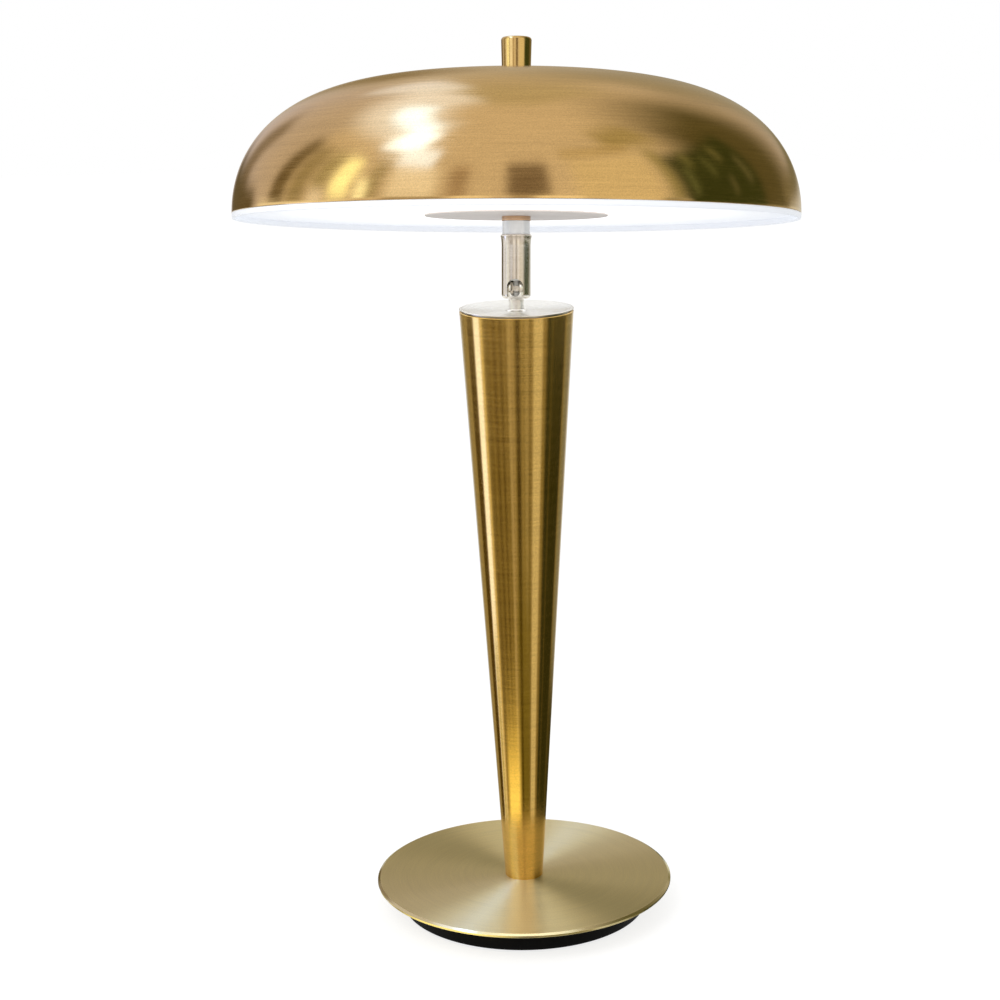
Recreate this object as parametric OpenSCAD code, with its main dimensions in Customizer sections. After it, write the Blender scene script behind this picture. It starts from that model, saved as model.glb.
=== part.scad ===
// Rechargeable table lamp: a spun dome on a slotted ball joint, a tapered column,
// a brass disc over a black plinth, and a push button for a finial.
// The origin is on the table under the middle of the base. +Z is up and -Y is the front.

/* [Base] */
// Radius of the brass disc
disc_r = 100; // [90:1:140]
// Thickness of the brass disc
disc_t = 2.5; // [2:0.1:5]
// Bevel round the disc's top edge
disc_bevel = 0.7; // [0.2:0.1:1.2]
// Height of the disc's top face over the table
base_h = 20; // [19:0.5:30]
// Outer radius of the black plinth
plinth_r = 83; // [79:1:88]
// Wall of the plinth's moulding
plinth_wall = 2.5; // [1.5:0.1:4]
// Thickness of the plinth's top web
plinth_web = 2; // [1.5:0.1:3]
// Height of the plinth's lower edge over the table
plinth_lift = 1; // [0.5:0.1:1.5]
// Thickness of the bottom cover
cover_t = 2.5; // [2:0.1:4]
// Thickness of the foot pad
pad_t = 2; // [1.6:0.1:2.4]

/* [Weight and battery] */
// Width of the battery across the lamp
battery_w = 64; // [40:1:70]
// Depth of the battery from front to back
battery_d = 44; // [30:1:46]
// Thickness of the battery
battery_t = 8.5; // [5:0.1:10]
// Thickness of the foam under the battery
foam_t = 1; // [0.5:0.1:1.5]
// Circle that the cover screws stand on
cover_screw_r = 60; // [56:1:66]
// Width of the charge board
board_w = 28; // [20:1:30]
// Depth of the charge board
board_d = 24; // [18:1:26]
// Thickness of every circuit board
board_t = 1.6; // [1:0.1:2]

/* [Column] */
// Height of the tapered tube
column_h = 388.4; // [200:1:500]
// Outer radius at its foot
column_foot_r = 12.8; // [11:0.1:20]
// Outer radius at its mouth
column_top_r = 36.85; // [28:0.05:44.5]
// Wall of the tube
column_wall = 1.2; // [0.8:0.1:2]
// Length of the threaded plug in its foot
plug_h = 16; // [8:1:30]
// Radius of the hollow threaded nipple
nipple_r = 5; // [4:0.1:6]
// Radius of the nipple's bore
nipple_bore_r = 3.5; // [3:0.1:3.8]

/* [Cap and swivel] */
// Thickness of the cap's visible rim
cap_rim_t = 0.65; // [0.5:0.05:1.5]
// Height of the shadow gap under the rim
cap_gap = 0.6; // [0.4:0.1:1.2]
// Depth of the cap's dish
cap_dish = 1.5; // [0.5:0.1:2.5]
// Thickness of the cap at the middle of its dish
cap_t = 2.6; // [2:0.1:4]
// Length of the spigot that fits the column's mouth
spigot_h = 8; // [4:0.5:14]
// Length of the swivel bearing through cap and boss
bearing_h = 8; // [6:0.5:14]
// Radius of the post's shank in that bearing
shank_r = 5; // [4:0.1:6]
// Turn each way before the stop tab meets its lug, in degrees
swivel_limit = 165; // [90:1:170]

/* [Ball joint] */
// Radius of the ball
ball_r = 8.2; // [7.5:0.05:10]
// Radius of the neck under the ball
neck_r = 4.9; // [4:0.1:5.2]
// Radius of the cable that runs through the joint
cable_r = 1.8; // [1:0.1:2]
// Radius of the wire slot in the ball's front
wire_slot_r = 3; // [2.6:0.1:3.4]
// Wall of the sleeve
sleeve_wall = 0.95; // [0.8:0.05:1.5]
// Height of the sleeve's top edge over the ball's centre
sleeve_up = 34.8; // [30:0.1:45]
// How much wider the sleeve's flared top edge is
flare = 0.7; // [0.3:0.1:2]
// Lean of the head to the back before the neck meets the mouth's edge, in degrees
back_limit = 12; // [8:0.5:14]
// Lean of the head to the back at rest, in degrees
head_lean = 9; // [0:0.1:11]
// Turn of the head to the left at rest, in degrees
head_turn = 5.4; // [-30:0.1:30]

/* [Stem and diffuser] */
// Radius of the stem above the sleeve
stem_r = 8.9; // [8.7:0.1:9.8]
// Length of the stem that shows
stem_show = 8.6; // [6:0.1:16]
// Radius of the stem's threaded shank
stem_shank_r = 8; // [7:0.1:8.2]
// Radius of the stem's bore
stem_bore_r = 6; // [5:0.1:6.2]
// Height of the polished collar
collar_h = 3; // [2:0.1:5]
// Radius of the collar
collar_r = 9.3; // [9.1:0.1:12]
// Radius of the cover plate under the diffuser
plate_r = 58.9; // [40:0.5:72]
// Thickness of the cover plate
plate_t = 1.2; // [0.8:0.1:2]
// Thickness of the opal diffuser
diffuser_t = 2; // [1.5:0.1:4]
// How far the diffuser's skirt hangs below the shade's rim
skirt_h = 3.7; // [1:0.1:8]
// Thickness of the skirt
skirt_t = 2.4; // [1.5:0.1:4]
// Room between diffuser and carrier plate
lamp_room = 20.9; // [14:0.1:28]

/* [Shade] */
// Outer radius of the shade's rim
shade_r = 181; // [150:1:220]
// Height of the dome over its rim
shade_h = 87.4; // [83:0.1:120]
// Wall of the spun shade
shade_wall = 0.8; // [0.6:0.1:1.5]
// How square the dome's shoulder is, 2 for an ellipse
dome_square = 3.54; // [2:0.01:4]
// How full the dome's crown is, 2 for an ellipse
dome_crown = 2.055; // [1.8:0.001:3]
// Height of the rim over the lower face of the cover plate
rim_lift = 1; // [0:0.1:1.6]

/* [Finial button] */
// Radius of the finial under its rounded top edge
finial_r = 9.8; // [9.4:0.1:14]
// How much narrower the finial is at its foot
finial_taper = 0.6; // [0:0.1:0.8]
// Height of the finial's top over the dome
finial_top = 25.1; // [20:0.1:40]
// Travel of the button
button_travel = 1.5; // [0.5:0.1:1.8]
// Radius of the button's plunger
plunger_r = 3.5; // [3:0.1:4]

/* [Light] */
// Radius of the carrier plate
carrier_r = 112; // [108:1:130]
// Thickness of the carrier plate
carrier_t = 1.5; // [1:0.1:3]
// Inner and outer radius of the ring of lights
led_rings = [50, 90]; // [20:1:100]

/* [Hidden] */
$fn = 96;

// Clearances: a thread or shaft in its hole, a part that drops in, a flat running face
fit = 0.05;
loose = 0.3;
run = 0.05;

// Cutting tools reach this far past the faces that they cut
over = 1;

// Small screws: shank, head and countersink, and the hole that clears a shank
screw_r = 1.5;
screw_head_r = 2.9;
screw_head_h = 1.4;
screw_l = 9;
screw_hole_r = 1.6;

// Colours
brass = [0.78, 0.62, 0.34];
bright_brass = [0.86, 0.69, 0.36];
nickel = [0.80, 0.78, 0.73];
steel = [0.62, 0.63, 0.65];
iron = [0.33, 0.33, 0.34];
black = [0.08, 0.08, 0.08];
rubber = [0.13, 0.13, 0.13];
board_green = [0.10, 0.36, 0.20];
white = [0.93, 0.94, 0.95];
opal = [0.96, 0.97, 0.99];
foam = [0.45, 0.46, 0.50];
lead_red = [0.62, 0.12, 0.10];

// Base heights, from the table up
plinth_top = base_h - disc_t;
web_z = plinth_top - plinth_web;
cover_top = plinth_lift + cover_t;
plinth_in_r = plinth_r - plinth_wall;
cover_r = plinth_in_r - loose;
pad_r = cover_r - 1;
boss_h = 1.5;
weight_z = cover_top + boss_h;
weight_r = plinth_in_r - 1.5;
weight_web = 3;
washer_t = 1.2;
nut_t = 2.5;
weight_recess_z = web_z - weight_web;
washer_z = weight_recess_z - washer_t;
nut_z = washer_z - nut_t;
nipple_z = nut_z - 0.2;
recess_r = 17;
pocket_gap = 1;
channel_side = 3;
channel_h = 3;

// Charge board and port, at the back of the plinth
board_foot = 1.4;
board_z = cover_top + board_foot;
board_back = plinth_in_r - 2.5;
board_front = board_back - board_d;
port_w = 9;
port_t = 3.2;
port_d = 7;
port_z = board_z + board_t + port_t / 2;
port_back = plinth_r - 0.6;
peg_r = 1;
peg_side = 3;
peg_front = 4;
peg_back = 8;
battery_back = -20;
lead_x = 5;
lead_r = 1;
base_cable_z = cover_top + cable_r + 0.2;
elbow_r = 5;

// Column
column_top = base_h + column_h;
taper = (column_top_r - column_foot_r) / column_h;
nipple_top = base_h + plug_h - 2;

// Cap and swivel
cap_top = column_top + cap_gap + cap_rim_t;
dish_out = column_top_r - 1;
dish_z = cap_top - cap_dish;
spigot_r = column_top_r - column_wall - spigot_h * taper - 0.1;
spigot_wall = 1.5;
seat_step = 0.65;
boss_r = 12;
boss_z = dish_z - bearing_h;
washer_thin = 0.5;
flange_r = 6.6;
flange_t = 0.8;
flange_z = dish_z - flange_t;
pocket_z = flange_z - run - washer_thin;
pocket_r = flange_r + 0.35;
dish_in = flange_r + 1;
dish_steps = 12;
foot_fillet = 1.6;
stop_t = 1.5;
stop_z = boss_z - 2 * run - stop_t;
post_nut_t = 3.5;
post_nut_z = stop_z - post_nut_t;
shank_z = post_nut_z - 1;
shank_flat = shank_r * 0.84;
tab_in = 8.6;
tab_out = 11.4;
tab_half = (180 - swivel_limit) / 2 - 0.5;
lug_z = stop_z - 1;
wire_bore_r = cable_r + 0.4;

// Ball joint, in heights along the head's own axis from the ball's centre
ball_gap = 0.15;
neck_gap = 0.3;
lip_t = 1.1;
lip_flat = 0.1;
seat_r = ball_r + ball_gap;
sleeve_r = seat_r + sleeve_wall;
flare_r = sleeve_r + flare;
mouth_r = mouth_radius(mouth_depth(neck_r * 1.3));
sleeve_down = mouth_depth(mouth_r);
lip_round = sleeve_r - mouth_r - lip_flat;
sweep_r = norm([sleeve_r - lip_round, sleeve_down - lip_round]) + lip_round;
foot_clear = 1.85;
joint_z = flange_z + flange_t + foot_fillet + foot_clear + sweep_r;
wire_slot_drop = 0.9;
wire_mouth_r = ball_r * tan(back_limit) + cable_r / cos(back_limit) + 0.4;
slot_half = neck_r + neck_gap;
slot_rise = 1.2;
flare_h = 7.3;
ball_seat_z = slot_half + 0.1;
ball_seat_top = ball_seat_z + ball_r - 0.5;
spring_rise = 0.55;
spring_t = 0.7;
spring_count = 4;
spigot_end = ball_seat_top + spring_count * (spring_rise + spring_t);

// Head stack, in heights along the head's own axis
shoulder_z = sleeve_up + stem_show;
plate_z = shoulder_z + collar_h;
diffuser_z = plate_z + plate_t;
spacer_z = diffuser_z + diffuser_t;
carrier_z = spacer_z + lamp_room;
carrier_top = carrier_z + carrier_t;
stem_nut_t = 4;
rim_z = plate_z + rim_lift;
skirt_z = rim_z - skirt_h;
skirt_round = 0.8;
dome_z = rim_z + shade_h;
cage_top = dome_z - shade_wall - fit;
cage_wall_t = 5;
chamber_r = 10;
cage_r = 11.5;
stem_top = cage_top - 26;
reducer_h = 10;
switch_z = stem_top + board_t;
switch_h = 4;
actuator_r = 1.7;
actuator_z = switch_z + 0.8 + button_travel + 0.2;
plunger_z = switch_z + switch_h + button_travel + 0.3;
clip_t = 0.8;
clip_rim = 2;
clip_mouth = 3;
groove = 0.6;
plunger_seat = 6;
clip_z = cage_top - cage_wall_t - clip_t - loose;
thread_r = 6;
thread_top = dome_z + 4.7;
shade_nut_t = 3.5;
finial_z = dome_z + button_travel + 0.5;
finial_end = dome_z + finial_top;
finial_skirt = 0.9;
finial_roof = 12;
finial_ceiling = finial_end - finial_roof;
finial_round = 3;
finial_crown = 0.5;
window_r = 2.6;
window_z = carrier_top + stem_nut_t + window_r + 1;
window_step = 5.6;
driver_x = 22;
driver_l = 60;
driver_w = 34;
driver_gap = 4;
pin_r = 0.8;
pin_in = 6;
pin_side = 4;
driver_z = carrier_top + driver_gap;
block_l = 8;
block_h = window_z + window_step + 2.4 - driver_z - board_t;
led_counts = [12, 24];
led_size = 3.5;
led_t = 0.8;
led_board_r = [34, 104];
carrier_screw_r = 69;
dome_steps = 36;

// Depth of the sleeve's mouth below the ball's centre, for a mouth of radius r
function mouth_depth(r) = sqrt(seat_r * seat_r - r * r) + lip_t;

// Radius of a mouth at depth d that clears the neck at the back limit
function mouth_radius(d) = d * tan(back_limit) + neck_r / cos(back_limit) + neck_gap;

// Outer and inner radius of the column at height z
function column_out(z) = column_foot_r + taper * (z - base_h);
function column_in(z) = column_out(z) - column_wall;

// Height of a dome of radius r0 and height h over its rim, at radius r
function dome_height(r, r0, h) = h * pow(max(0, 1 - pow(r / r0, dome_square)), 1 / dome_crown);

// Profile of a dome from a hole in its crown out to its rim
function dome_line(hole, r0, h) = [
    for (i = [0 : dome_steps])
        let (r = hole + (r0 - hole) * sin(90 * i / dome_steps))
        [r, i == dome_steps ? 0 : dome_height(r, r0, h)]
];

// Points of an arc about a centre, from angle a0 to a1
function arc(centre, r, a0, a1, steps = 8) = [
    for (i = [0 : steps])
        let (a = a0 + (a1 - a0) * i / steps)
        centre + r * [cos(a), sin(a)]
];

// Places its children in the head's own frame, with the ball's centre as origin
module on_head()
    translate([0, 0, joint_z])
    rotate([0, 0, -head_turn])
    rotate([-head_lean, 0, 0])
    children();

// Copies its children to the two pins that join driver and lights, at height z
module driver_pins(z)
    for (y = [-1, 1])
        translate([driver_x + driver_l - pin_in, y * pin_side, z])
            children();

// Copies its children to the four pegs of the charge board, at height z
module board_pegs(z)
    for (x = [-1, 1], y = [peg_front, board_d - peg_back])
        translate([x * (board_w / 2 - peg_side), board_front + y, z])
            children();

// Copies its children round the axis
module ring_of(count, r, start = 0)
    for (i = [0 : count - 1])
        rotate([0, 0, start + 360 * i / count])
            translate([r, 0, 0])
                children();

// A flat ring that stands at height z
module ring(r_out, r_in, h, z = 0)
    translate([0, 0, z])
        difference() {
            cylinder(r = r_out, h = h);
            translate([0, 0, -over]) cylinder(r = r_in, h = h + 2 * over);
        }

// A block with rounded upright edges, centred on its middle and standing on z = 0
module rounded_block(w, d, h, r) {
    translate([-w / 2 + r, -d / 2, 0]) cube([w - 2 * r, d, h]);
    translate([-w / 2, -d / 2 + r, 0]) cube([w, d - 2 * r, h]);
    for (x = [-1, 1], y = [-1, 1])
        translate([x * (w / 2 - r), y * (d / 2 - r), 0]) cylinder(r = r, h = h, $fn = 48);
}

// A slot with round ends along X, cut along Y
module stadium_slot(w, t, d) {
    rotate([-90, 0, 0])
        for (x = [-1, 1])
            translate([x * (w - t) / 2, 0, 0]) cylinder(r = t / 2, h = d, $fn = 48);
    translate([-(w - t) / 2, 0, -t / 2]) cube([w - t, d, t]);
}

// A hexagon nut with its lower face at height z
module hex_nut(across, bore, h, z)
    translate([0, 0, z])
        difference() {
            cylinder(r = across / 2 / cos(30), h = h, $fn = 6);
            translate([0, 0, -over]) cylinder(r = bore, h = h + 2 * over);
        }

// A quarter bend of round cable, from upright at height bend to level along +Y at height 0
module cable_bend(r, bend)
    translate([0, bend, bend])
        rotate([-90, 0, 0])
            rotate([0, 90, 0])
                rotate_extrude(angle = 90) translate([bend, 0]) circle(r = r, $fn = 32);

// The shank of the post with its two flats, grown by a clearance
module flatted_shank(grow, z, h)
    intersection() {
        translate([0, 0, z]) cylinder(r = shank_r + grow, h = h);
        translate([-shank_r - over, -shank_flat - grow, z])
            cube([2 * (shank_r + over), 2 * (shank_flat + grow), h]);
    }

// Soft pad that the lamp stands on
module foot_pad()
    color(rubber) cylinder(r = pad_r - loose, h = pad_t);

// Plate that closes the plinth from below
module bottom_cover()
    color(black) {
        difference() {
            translate([0, 0, plinth_lift]) cylinder(r = cover_r, h = cover_t);
            translate([0, 0, -over]) cylinder(r = pad_r, h = pad_t + over);
            ring_of(4, cover_screw_r, 45)
                translate([0, 0, pad_t]) {
                    translate([0, 0, -over])
                        cylinder(r = screw_hole_r, h = cover_t + 2 * over, $fn = 32);
                    cylinder(r1 = screw_head_r + 0.1, r2 = screw_hole_r, h = screw_head_h, $fn = 32);
                }
        }
        board_pegs(cover_top) {
            cylinder(r = 2.2, h = board_foot, $fn = 32);
            cylinder(r = peg_r, h = board_foot + board_t + 0.6, $fn = 32);
        }
    }

// Countersunk screws from the cover into the weight
module cover_screws()
    color(steel)
        ring_of(4, cover_screw_r, 45)
            translate([0, 0, pad_t])
                rotate_extrude($fn = 32)
                    polygon([
                        [0, 0], [screw_head_r, 0], [screw_r, screw_head_h],
                        [screw_r, screw_l], [0, screw_l]
                    ]);

// Black moulding under the brass disc, with the charging port at its back
module plinth_housing()
    color(black)
        difference() {
            rotate_extrude()
                polygon(concat(
                    [[nipple_r + loose, plinth_top], [nipple_r + loose, web_z]],
                    [[plinth_in_r, web_z], [plinth_in_r, plinth_lift]],
                    arc([plinth_r - 1, plinth_lift + 1], 1, -90, 0, 4),
                    [[plinth_r, plinth_top]]
                ));
            translate([0, plinth_in_r - 2, port_z])
                stadium_slot(port_w + 2 * loose, port_t + 2 * loose, plinth_wall + 4);
        }

// Cast weight, with pockets for the battery, the board and the leads
module base_weight()
    color(iron)
        difference() {
            union() {
                translate([0, 0, weight_z]) cylinder(r = weight_r, h = web_z - weight_z);
                ring_of(4, cover_screw_r, 45)
                    translate([0, 0, cover_top]) cylinder(r = 5, h = boss_h + over, $fn = 48);
            }
            translate([0, 0, weight_z - over]) {
                cylinder(r = nipple_r + loose, h = web_z);
                cylinder(r = recess_r, h = weight_recess_z - weight_z + over);
                translate([-battery_w / 2 - pocket_gap, battery_back - battery_d - pocket_gap, 0])
                    cube([battery_w + 2 * pocket_gap, battery_d + 2 * pocket_gap, web_z]);
                translate([-board_w / 2 - 2 * pocket_gap, board_front - 3 * pocket_gap, 0])
                    cube([board_w + 4 * pocket_gap, board_d + 2 * weight_r, web_z]);
                translate([-lead_x - channel_side, battery_back - over, 0])
                    cube([2 * (lead_x + channel_side), board_front - battery_back, over + channel_h]);
            }
            ring_of(4, cover_screw_r, 45)
                translate([0, 0, cover_top - over])
                    cylinder(r = screw_r + fit, h = screw_l, $fn = 32);
        }

// Foam that holds the battery up in its pocket
module battery_foam()
    color(foam)
        translate([0, battery_back - battery_d / 2, cover_top])
            rounded_block(battery_w - 4, battery_d - 4, foam_t, 2);

// Flat rechargeable battery
module battery_pack()
    color([0.55, 0.57, 0.60])
        translate([0, battery_back - battery_d / 2, cover_top + foam_t])
            rounded_block(battery_w, battery_d, battery_t, 3);

// Lead from the battery to the charge board
module battery_lead()
    color(lead_red)
        translate([lead_x, battery_back, cover_top + foam_t + lead_r + 0.3])
            rotate([-90, 0, 0]) cylinder(r = lead_r, h = board_front - battery_back, $fn = 32);

// Board that charges the battery, on pegs of the bottom cover
module charge_board()
    color(board_green)
        difference() {
            union() {
                translate([-board_w / 2, board_front, board_z]) cube([board_w, board_d, board_t]);
                translate([-9, board_front + 3, board_z + board_t]) cube([7, 7, 1]);
                translate([2, board_front + 3, board_z + board_t]) cube([6, 5, 3]);
            }
            board_pegs(0) cylinder(r = peg_r + 0.1, h = web_z, $fn = 32);
        }

// Charging socket at the back of the plinth
module usb_c_socket()
    color(steel)
        translate([0, port_back - port_d, port_z])
            difference() {
                stadium_slot(port_w, port_t, port_d);
                translate([0, 1, 0]) stadium_slot(port_w - 0.7, port_t - 0.7, port_d);
            }

// Brass disc that the column stands on
module base_disc()
    color(brass)
        rotate_extrude($fn = 180)
            polygon([
                [nipple_r + loose, plinth_top],
                [disc_r - 0.4, plinth_top],
                [disc_r, plinth_top + 0.4],
                [disc_r, base_h - disc_bevel],
                [disc_r - disc_bevel, base_h],
                [nipple_r + loose, base_h]
            ]);

// Hollow threaded nipple that ties base and column together
module column_nipple()
    color(steel) ring(nipple_r, nipple_bore_r, nipple_top - nipple_z, nipple_z);

// Washer under the nipple's nut
module nipple_washer()
    color(steel) ring(recess_r - 3, nipple_r + loose, washer_t, washer_z);

// Nut that pulls the column down on the base
module nipple_nut()
    color(steel) hex_nut(16, nipple_r + fit, nut_t, nut_z);

// Threaded plug brazed in the column's foot
module column_plug()
    color(steel)
        rotate_extrude()
            polygon([
                [nipple_r + fit, base_h],
                [column_in(base_h) - fit, base_h],
                [column_in(base_h + plug_h) - fit, base_h + plug_h],
                [nipple_r + fit, base_h + plug_h]
            ]);

// Tapered brass tube
module column()
    color(brass)
        rotate_extrude($fn = 180)
            polygon([
                [column_in(base_h), base_h],
                [column_out(base_h), base_h],
                [column_out(column_top - 0.4), column_top - 0.4],
                [column_top_r - 0.4, column_top],
                [column_in(column_top), column_top]
            ]);

// Dished cap in the column's mouth, with a pocket for the post's flange, the swivel's
// bearing and the stop lug
module column_cap()
    color(nickel) {
        rotate_extrude($fn = 180)
            polygon(concat(
                [[shank_r + fit, boss_z], [boss_r, boss_z], [boss_r, dish_z - cap_t]],
                [[spigot_r - spigot_wall, dish_z - cap_t]],
                [[spigot_r - spigot_wall, column_top - spigot_h]],
                [[spigot_r, column_top - spigot_h], [spigot_r, column_top]],
                [[column_top_r - seat_step, column_top]],
                [[column_top_r - seat_step, column_top + cap_gap]],
                [[column_top_r, column_top + cap_gap], [column_top_r, cap_top - 0.2]],
                [[column_top_r - 0.2, cap_top]],
                [for (i = [dish_steps : -1 : 0])
                    [dish_in + (dish_out - dish_in) * i / dish_steps,
                     dish_z + cap_dish * pow(i / dish_steps, 2)]],
                [[pocket_r, dish_z], [pocket_r, pocket_z], [shank_r + fit, pocket_z]]
            ));
        translate([0, 0, lug_z])
            rotate([0, 0, 90 - tab_half])
                rotate_extrude(angle = 2 * tab_half)
                    translate([tab_in, 0]) square([tab_out - tab_in, boss_z - lug_z + 0.5]);
    }

// Thin washer in the pocket, that the post's flange turns on
module swivel_washer()
    color(white) ring(flange_r, shank_r + loose, washer_thin, pocket_z);

// Cable from the charge board up through the nipple and the column
module column_cable()
    color(black) {
        translate([0, elbow_r, base_cable_z])
            rotate([-90, 0, 0]) cylinder(r = cable_r, h = board_front - elbow_r, $fn = 32);
        translate([0, 0, base_cable_z]) cable_bend(cable_r, elbow_r);
        translate([0, 0, base_cable_z + elbow_r])
            cylinder(r = cable_r, h = shank_z - 2 - base_cable_z - elbow_r, $fn = 32);
    }

// Turned post with the ball, the wire slot in its front and the swivel's shank
module ball_post()
    color(nickel)
        difference() {
            union() {
                flatted_shank(0, shank_z, stop_z + stop_t - shank_z);
                translate([0, 0, stop_z + stop_t])
                    cylinder(r = shank_r, h = flange_z - stop_z - stop_t);
                rotate_extrude()
                    polygon(concat(
                        [[0, flange_z], [flange_r, flange_z], [flange_r, flange_z + flange_t]],
                        arc([neck_r + foot_fillet, flange_z + flange_t + foot_fillet],
                            foot_fillet, -90, -180),
                        [[neck_r, joint_z], [0, joint_z]]
                    ));
                translate([0, 0, joint_z]) sphere(r = ball_r);
            }
            translate([0, 0, shank_z - 1])
                cylinder(r = wire_bore_r, h = joint_z - shank_z + 1, $fn = 48);
            translate([0, 0, joint_z])
                rotate([0, 0, -head_turn]) {
                    translate([0, 0, -wire_slot_drop]) {
                        rotate([90, 0, 0]) cylinder(r = wire_slot_r, h = 2 * ball_r, $fn = 48);
                        cylinder(r = wire_slot_r, h = 2 * ball_r, $fn = 48);
                    }
                    translate([-wire_slot_r, -2 * ball_r, -wire_slot_drop])
                        cube([2 * wire_slot_r, 2 * ball_r, 2 * ball_r]);
                    translate([0, 0, ball_r / 2])
                        cylinder(r1 = wire_slot_r, r2 = wire_mouth_r, h = ball_r / 2, $fn = 48);
                }
        }

// Keyed washer whose tab meets the cap's lug at either end of the swivel
module stop_washer()
    color(steel)
        difference() {
            translate([0, 0, stop_z]) {
                cylinder(r = tab_in - loose, h = stop_t);
                rotate([0, 0, -90 - tab_half])
                    rotate_extrude(angle = 2 * tab_half)
                        translate([tab_in - 1, 0])
                            square([tab_out - tab_in + 1 - loose, stop_t]);
            }
            flatted_shank(fit, stop_z - over, stop_t + 2 * over);
        }

// Nut under the stop washer
module post_nut()
    color(steel) hex_nut(14, shank_r + fit, post_nut_t, post_nut_z);

// Cable inside the post, up to just below the ball's centre
module post_cable()
    color(white)
        translate([0, 0, shank_z - 2 + loose])
            cylinder(r = cable_r, h = joint_z - shank_z - loose, $fn = 32);

// Slotted sleeve that holds the ball: curled lip, side slot and flared top edge
module joint_sleeve()
    color(nickel)
        on_head()
            difference() {
                rotate_extrude($fn = 120)
                    polygon(concat(
                        [[0, -sleeve_down]],
                        arc([sleeve_r - lip_round, lip_round - sleeve_down], lip_round, -90, 0, 12),
                        [[sleeve_r, sleeve_up - flare_h]],
                        [for (i = [1 : 8])
                            [sleeve_r + flare * pow(i / 8, 2),
                             sleeve_up - flare_h + (flare_h - 0.8) * i / 8]],
                        [[flare_r - 0.4, sleeve_up], [0, sleeve_up]]
                    ));
                sphere(r = seat_r);
                cylinder(r = seat_r, h = sleeve_up + 1);
                translate([0, 0, -sleeve_down - 1]) cylinder(r = mouth_r, h = sleeve_down + 1);
                translate([0, 0, slot_rise])
                    rotate([90, 0, 0]) cylinder(r = slot_half, h = 2 * sleeve_r);
                translate([-slot_half, -2 * sleeve_r, -sleeve_down - 1])
                    cube([2 * slot_half, 2 * sleeve_r, sleeve_down + 1 + slot_rise]);
            }

// Cup that the springs press down on the ball
module ball_seat()
    color(white)
        on_head()
            difference() {
                translate([0, 0, ball_seat_z])
                    cylinder(r = seat_r - fit, h = ball_seat_top - ball_seat_z);
                sphere(r = seat_r);
                cylinder(r = wire_slot_r + 0.4, h = ball_seat_top + 1);
            }

// Stack of disc springs between the cup and the stem
module disc_springs()
    color(steel)
        on_head()
            for (i = [0 : spring_count - 1])
                translate([0, 0, ball_seat_top + i * (spring_rise + spring_t)])
                    rotate_extrude() {
                        low = i % 2 == 0 ? spring_rise : 0;
                        high = spring_rise - low;
                        polygon([
                            [4.2, low], [seat_r - loose, high],
                            [seat_r - loose, high + spring_t], [4.2, low + spring_t]
                        ]);
                    }

// Threaded tube that carries diffuser, lights and shade
module stem_tube()
    color(nickel)
        on_head()
            difference() {
                rotate_extrude()
                    polygon([
                        [stem_bore_r, spigot_end],
                        [seat_r - fit, spigot_end],
                        [seat_r - fit, sleeve_up],
                        [stem_r, sleeve_up],
                        [stem_r, shoulder_z],
                        [stem_shank_r, shoulder_z],
                        [stem_shank_r, stem_top],
                        [stem_bore_r, stem_top]
                    ]);
                for (i = [0, 1])
                    translate([0, 0, window_z + i * window_step])
                        rotate([0, 90, 0]) cylinder(r = window_r, h = 2 * stem_r, $fn = 48);
            }

// Polished collar under the cover plate
module stem_collar()
    color(bright_brass)
        on_head()
            rotate_extrude()
                polygon([
                    [stem_shank_r + fit, shoulder_z],
                    [collar_r - 0.3, shoulder_z],
                    [collar_r, shoulder_z + 0.3],
                    [collar_r, plate_z],
                    [stem_shank_r + fit, plate_z]
                ]);

// Round plate that covers the middle of the diffuser
module cover_plate()
    color([0.80, 0.76, 0.74])
        on_head()
            rotate_extrude($fn = 180)
                polygon([
                    [stem_shank_r + fit, plate_z],
                    [plate_r - 0.5, plate_z],
                    [plate_r, plate_z + 0.4],
                    [plate_r, diffuser_z],
                    [stem_shank_r + fit, diffuser_z]
                ]);

// Opal disc that closes the shade from below, with a skirt that hangs flush under the rim
module diffuser()
    color(opal)
        on_head()
            rotate_extrude($fn = 180)
                polygon(concat(
                    [[stem_shank_r + fit, diffuser_z], [shade_r - skirt_t, diffuser_z]],
                    [[shade_r - skirt_t, skirt_z]],
                    arc([shade_r - skirt_round, skirt_z + skirt_round], skirt_round, -90, 0, 6),
                    [[shade_r, rim_z - loose], [shade_r - shade_wall - 2 * loose, rim_z - loose]],
                    [[shade_r - shade_wall - 2 * loose, spacer_z], [stem_shank_r + fit, spacer_z]]
                ));

// Tube that holds the carrier plate off the diffuser
module hub_spacer()
    color(steel) on_head() ring(12, stem_shank_r + fit, lamp_room, spacer_z);

// Ring-shaped board with the lights on its lower face
module led_board()
    color(white)
        on_head()
            difference() {
                ring(led_board_r[1], led_board_r[0], board_t, carrier_z - board_t);
                ring_of(6, carrier_screw_r)
                    translate([0, 0, carrier_z - board_t - over])
                        cylinder(r = screw_hole_r, h = board_t + 2 * over, $fn = 32);
            }

// Lights in two rings
module leds()
    color([0.98, 0.92, 0.62])
        on_head()
            for (ring_no = [0, 1])
                ring_of(led_counts[ring_no], led_rings[ring_no])
                    translate([-led_size / 2, -led_size / 2, carrier_z - board_t - led_t])
                        cube([led_size, led_size, led_t]);

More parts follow.
